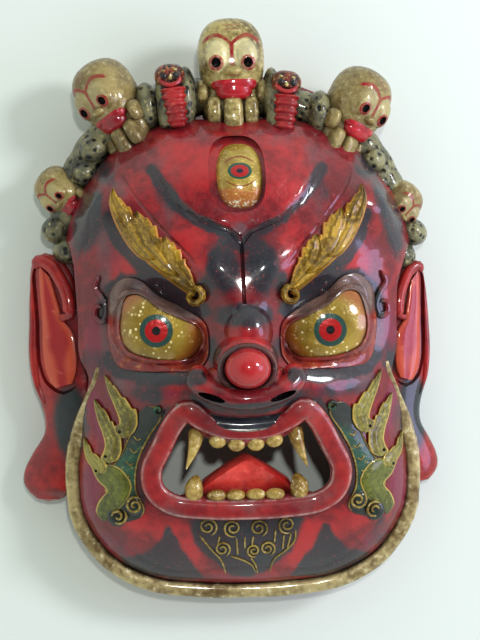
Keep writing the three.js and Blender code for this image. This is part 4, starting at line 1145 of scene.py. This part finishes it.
for x, y, z, lean in SNAKE_SEATS:
    first = len(RAISED)
    roll(RAISED, SNAKE_BACK, 11.5, 10, 18, "snake_scale", grow=tapered())
    roll(RAISED, BELLY, 9.6, 9.6, 16, "snake_belly", square=0.8,
         grow=lambda t: (0.82 + 0.3 * t + 0.1 * math.cos(11 * math.pi * t)) * tapered()(t))
    ball(RAISED, (0, 38.5, 1), (13, 10.5, 12.5), 32, "snake_face", blunt=0.85)
    roll(RAISED, SNAKE_LIP, 2.1, 2.4, 8, "snake_belly", grow=tapered(0.3, 0.3))
    for side in SIDES:
        ball(RAISED, (side * 5, 37.5, 12.2), (2.9, 2.9, 2.6), 14, "deep_hole")
        ball(RAISED, (side * 5, 42, 11.4), (2.2, 1.2, 2.0), 10, "snake_gold")
    ball(RAISED, (0, 35.5, 13), (1.8, 2.2, 2.0), 10, "snake_gold")
    for bm in RAISED[first:]:
        bmesh.ops.transform(bm, verts=bm.verts, matrix=Matrix.Translation((x, y, z))
                            @ Matrix.Rotation(lean, 4, "Z"))

# The whole carving: the sockets are sunk in the block, the features joined to it and the cuts
# taken out; then the hollow and the mouth are opened, and the teeth and tongue stand in them.
# Crumbs that the cuts leave loose fall off.


def as_object(name, bm):
    mesh = bpy.data.meshes.new(name)
    bm.to_mesh(mesh)
    bm.free()
    thing = bpy.data.objects.new(name, mesh)
    bpy.context.scene.collection.objects.link(thing)
    return thing


def worked(base, tool, operation):
    """The base after the tool has been joined to it or cut from it."""
    step = base.modifiers.new(operation, "BOOLEAN")
    step.operation, step.solver, step.object = operation, "MANIFOLD", tool
    seen = base.evaluated_get(bpy.context.evaluated_depsgraph_get())
    mesh = bpy.data.meshes.new_from_object(seen)
    base.modifiers.clear()
    base.data = mesh
    bpy.data.objects.remove(tool)
    return base


def together(group):
    """Solids joined pair by pair, so that no step works on a large mesh for a small one."""
    things = [as_object("carving", bm) for bm in group]
    for thing in things:
        for material in PAINTS.values():
            thing.data.materials.append(material)
    while len(things) > 1:
        pairs = [things[k:k + 2] for k in range(0, len(things), 2)]
        things = [worked(*pair, "UNION") if len(pair) > 1 else pair[0] for pair in pairs]
    return things[0]


mask = worked(together(BLOCK), together(SOCKETS), "DIFFERENCE")
mask = worked(mask, together(RAISED), "UNION")
mask = worked(mask, together(CUTS), "DIFFERENCE")
mask = worked(mask, together(OPENINGS), "DIFFERENCE")
mask = worked(mask, together(MOUTH), "UNION")
mask.name = "carved_mask"
body = bmesh.new()
body.from_mesh(mask.data)
CRUMB_SIZE, crumbs = 200, []
for start in body.verts:
    if not start.tag:
        start.tag, reached = True, [start]
        for vert in reached:
            for edge in vert.link_edges:
                other = edge.other_vert(vert)
                if not other.tag:
                    other.tag = True
                    reached.append(other)
        if len(reached) < CRUMB_SIZE:
            crumbs += reached
bmesh.ops.delete(body, geom=crumbs, context="VERTS")
body.to_mesh(mask.data)
body.free()

# Painting by place: dark teal in the hollows and beside the carved lines, partly paint and partly
# painted shade; bright vermilion on the swells, partly a painted highlight; a grey painted
# reflection at the temples and rose behind the whiskers; and, from the carving's form, painted
# shade in the crevices and rubbed edges that are also a painted highlight.

# The dark tables: dark teal, partly the mask's paint and partly painted shade under the ledges and
# brows.
# x, y, spread x, spread y, turn, strength; both sides unless x is 0
DARK_PLACES = [
    (15, 42, 15, 22, 0, 1.0), (10, 62, 12, 10, 0, 0.8), (30, 30, 16, 10, -0.6, 0.7),
    (128, 86, 12, 30, 0.25, 0.95), (112, 130, 16, 14, 0.6, 0.6), (128, -36, 12, 16, 0, 0.6),
    (80, -60, 22, 7, 0.1, 0.7), (46, -62, 12, 8, 0, 0.7), (27, -24, 7, 12, 0, 0.7),
    (0, 4, 26, 10, 0, 0.95), (116, -184, 16, 16, 0.5, 0.5), (148, -84, 16, 34, 0, 1.0),
    (160, -148, 20, 7, 0.4, 0.45), (66, 106, 14, 16, 0.5, 0.35),
]
DARK_LINES = [  # points, half width, strength
    ([(72, 127), (62, 112), (52, 97), (37, 83), (20, 75), (8, 68), (0, 58)], 5.0, 0.85),
    ([(106, 86), (100, 68), (88, 52), (74, 38), (58, 26), (42, 15), (34, 8)], 6.5, 1.0),
    ([(116, 4), (112, 28), (98, 38), (84, 36), (68, 23), (50, 14), (36, 4)], 4.5, 0.85),
    ([(112, -30), (104, -40), (86, -46), (62, -47), (38, -45)], 6.0, 1.0),
    ([(58, -68), (73, -84), (83, -104), (89, -124), (88, -146)], 6.0, 0.6),
    ([(44, -62), (24, -70), (0, -72)], 5.0, 0.9),
]
FIELDS_TOP = -155
DARK_FIELDS = [  # right half of each edge
    [(-1, -163), (50, -165), (45, -180), (37, -196), (25, -208), (13, -219), (-1, -221)],
    [(66, -170), (74, -184), (88, -196), (108, -203), (97, -214), (62, -222), (36, -221),
     (51, -200), (60, -184)],
]
# Bright vermilion on the swells: partly paint, partly a painted highlight.
BRIGHT_PLACES = [
    (0, 132, 74, 26, 0, 0.6), (40, 116, 26, 18, 0, 0.5), (0, -38, 18, 16, 0, 1.0),
    (38, -46, 14, 12, 0, 0.8), (50, -196, 16, 20, 0.25, 0.9), (64, -178, 14, 10, 0, 0.7),
    (92, -166, 26, 10, 0.2, 0.6), (0, -218, 30, 8, 0, 0.5), (44, 62, 11, 20, 0.5, 0.7),
    (96, 50, 12, 18, 0.5, 0.9), (0, -20, 16, 12, 0, 0.6), (134, 92, 7, 16, 0, 0.7),
    (40, 46, 9, 14, 0.5, 0.5),
]
# Grey sheen: a painted reflection of light in the varnish.
HAZE_PLACES = [
    (113, 8, 9, 44, 0, 0.95), (100, -54, 14, 12, 0, 0.8), (76, -52, 34, 6, 0, 0.5),
    (72, 136, 30, 18, 0, 0.5), (100, 116, 20, 12, 0.6, 0.6), (0, 74, 8, 6, 0, 0.9),
    (20, 50, 10, 16, 0, 0.45), (0, 10, 20, 6, 0, 0.6), (112, 70, 9, 24, 0.3, 0.6),
    (0, 152, 60, 10, 0, 0.5), (60, 96, 18, 14, 0.6, 0.45),
]
ROSE_PLACES = [
    (124, -78, 9, 26, -0.25, 1.0), (132, -142, 10, 30, 0.15, 1.0), (112, -190, 24, 12, 0.5, 0.6),
    (108, -60, 8, 14, -0.3, 0.7), (0, -222, 30, 8, 0, 0.6), (108, 56, 14, 18, 0, 0.5),
    (140, 88, 6, 26, 0, 0.7), (70, -60, 18, 5, 0, 0.7), (126, -20, 8, 30, 0, 0.8),
]


def laid_places(table, x, y):
    most = 0.0
    for cx, cy, rx, ry, turn, strength in table:
        for side in (SIDES if cx else (1,)):
            dx, dy = x - side * cx, y - cy
            if abs(dx) < 110 and abs(dy) < 110:
                c, s = math.cos(side * turn), math.sin(side * turn)
                fall = ((dx * c + dy * s) / rx) ** 2 + ((dy * c - dx * s) / ry) ** 2
                if fall < 9:
                    most = max(most, strength * math.exp(-fall * fall * 0.5 - fall * 0.3))
    return most


def laid_fields(table, x, y):
    most = 0.0
    if y < FIELDS_TOP:
        for edge in table:
            inside, near = False, 9.0
            for (ax, ay), (bx, by) in zip(edge, edge[1:] + edge[:1]):
                if (ay > y) != (by > y) and abs(x) < ax + (y - ay) * (bx - ax) / (by - ay):
                    inside = not inside
                dx, dy = bx - ax, by - ay
                t = clamp(((abs(x) - ax) * dx + (y - ay) * dy) / (dx * dx + dy * dy))
                if ax > 0 or bx > 0:
                    near = min(near, math.hypot(abs(x) - ax - t * dx, y - ay - t * dy))
            most = max(most, soft_step(0.5 + (near if inside else -near) / 11))
    return most


def laid_lines(table, x, y):
    most = 0.0
    for points, wide, strength in table:
        for (ax, ay), (bx, by) in zip(points, points[1:]):
            dx, dy, px, py = bx - ax, by - ay, abs(x) - ax, y - ay
            if abs(px) < 60 and abs(py) < 60:
                t = clamp((px * dx + py * dy) / (dx * dx + dy * dy))
                fall = ((px - t * dx) ** 2 + (py - t * dy) ** 2) / (wide * wide)
                if fall < 6:
                    most = max(most, strength * math.exp(-fall * fall * 0.4 - fall * 0.3))
    return most


PAINTED_FROM = 12
shade = mask.data.attributes.new("shade", "FLOAT_COLOR", "POINT")
for vertex, value in zip(mask.data.vertices, shade.data):
    x, y, z = vertex.co
    if z > PAINTED_FROM:
        value.color = (max(laid_places(DARK_PLACES, x, y), laid_lines(DARK_LINES, x, y),
                           laid_fields(DARK_FIELDS, x, y)),
                       laid_places(BRIGHT_PLACES, x, y), laid_places(HAZE_PLACES, x, y),
                       laid_places(ROSE_PLACES, x, y))

# Painted shade: the share of the sky that nearby carving covers within 15 mm darkens each point;
# and its convexity lights the rubbed edges as a painted highlight.
RAYS, SHADE_REACH, GOLDEN_ANGLE = 22, 15.0, 2.39996
looks = []
for k in range(RAYS):
    height = 1 - 2 * (k + 0.5) / RAYS
    angle = GOLDEN_ANGLE * k
    flat = math.sqrt(1 - height * height)
    looks.append(Vector((flat * math.cos(angle), flat * math.sin(angle), height)))
seen = bmesh.new()
seen.from_mesh(mask.data)
seen.normal_update()
shape = BVHTree.FromBMesh(seen)
covered, bowed = [], []
for vertex in seen.verts:
    normal, met, total = vertex.normal, 0.0, 0
    start = vertex.co + normal * 0.4
    for look in looks:
        if look.dot(normal) > 0.12:
            total += 1
            gap = shape.ray_cast(start, look, SHADE_REACH)[3]
            met += 1 - gap / SHADE_REACH if gap is not None else 0.0
    covered.append(met / max(1, total))
    bends = [(vertex.co - edge.other_vert(vertex).co).normalized().dot(normal)
             for edge in vertex.link_edges]
    bowed.append(sum(bends) / max(1, len(bends)))
wear = mask.data.attributes.new("wear", "FLOAT_COLOR", "POINT")
for vertex, value in zip(seen.verts, wear.data):
    near = [edge.other_vert(vertex).index for edge in vertex.link_edges] + [vertex.index]
    value.color = (sum(covered[k] for k in near) / len(near),
                   clamp(sum(bowed[k] for k in near) / len(near)), 0.0, 1.0)
seen.free()

low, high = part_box("mask")
LEFT_REACH, LEAN = 190.458, 0.02
SHIFT_X, SHIFT_Y = low.x * 1000 + LEFT_REACH, low.y * 1000 - CHIN_Y
for vertex in mask.data.vertices:
    x, y, z = vertex.co
    vertex.co = ((x - LEAN * max(0.0, y) + SHIFT_X) / 1000, (y + SHIFT_Y) / 1000, z / 1000)
mask.data.shade_smooth()
mask.data.set_sharp_from_angle(angle=math.radians(42))
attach(mask, "root")
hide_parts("mask")

# Floor, light and camera: a pale floor, a window at the upper right, bluish light low on the
# right and a small lamp above the crown; the camera looks down from 1350 mm, a little to the
# left, as the photograph does.
floor_bm = bmesh.new()
bmesh.ops.create_grid(floor_bm, x_segments=1, y_segments=1, size=4)
floor = as_object("floor", floor_bm)
floor_paint = bpy.data.materials.new("floor_paint")
floor_paint.use_nodes = True
floor_shader = floor_paint.node_tree.nodes["Principled BSDF"]
floor_shader.inputs["Base Color"].default_value = colour(0.80, 0.86, 0.80)
floor_shader.inputs["Roughness"].default_value = 0.9
floor.data.materials.append(floor_paint)


def lamp(name, at, size, power, tint, aim=(0, 0, 0.05)):
    light = bpy.data.lights.new(name, "AREA")
    light.shape, light.size, light.energy, light.color = "DISK", size, power, tint
    thing = bpy.data.objects.new(name, light)
    thing.location = at
    thing.rotation_mode = "QUATERNION"
    thing.rotation_quaternion = (Vector(aim) - Vector(at)).to_track_quat("-Z", "Y")
    bpy.context.scene.collection.objects.link(thing)


lamp("window", (1.35, 0.62, 1.25), 0.42, 17, (0.92, 0.95, 1.0))
lamp("blue_window", (1.5, 0.0, 0.85), 0.7, 7, (0.62, 0.58, 1.0))
lamp("ceiling_lamp", (0.06, 0.30, 1.9), 0.10, 8, (1.0, 0.99, 0.96))
world = bpy.data.worlds.new("room")
world.use_nodes = True
room = Paint(world.node_tree)
climb = room.join("ShaderNodeTexCoord", {}, output="Generated")
climb = climb.join("ShaderNodeSeparateXYZ", {0: climb}, output=2)
sky = climb.between(0.5, 0.96).mix(colour(0.93, 1.0, 0.94), colour(0.06, 0.07, 0.08))
background = world.node_tree.nodes["Background"]
world.node_tree.links.new(sky.socket, background.inputs["Color"])
background.inputs["Strength"].default_value = 0.96
bpy.context.scene.world = world
bpy.context.scene.view_settings.view_transform = "Standard"

camera = bpy.data.objects.new("camera", bpy.data.cameras.new("camera"))
bpy.context.scene.collection.objects.link(camera)
SENSOR, FOCAL_SHARE, CAMERA_X, CAMERA_HEIGHT = 36, 1517 / 640, -52, 1350
camera.data.sensor_width = SENSOR
camera.data.lens = FOCAL_SHARE * SENSOR
YAW, ROLL = math.radians(2.24), math.radians(1.2)
camera.location = ((CAMERA_X + SHIFT_X) / 1000, SHIFT_Y / 1000, CAMERA_HEIGHT / 1000)
ahead = Vector((math.sin(YAW), 0, -math.cos(YAW)))
up = Vector((math.sin(ROLL), math.cos(ROLL), 0))
right = ahead.cross(up).normalized()
up = right.cross(ahead)
camera.rotation_mode = "QUATERNION"
camera.rotation_quaternion = Matrix((right, up, -ahead)).transposed().to_quaternion()
bpy.context.scene.camera = camera
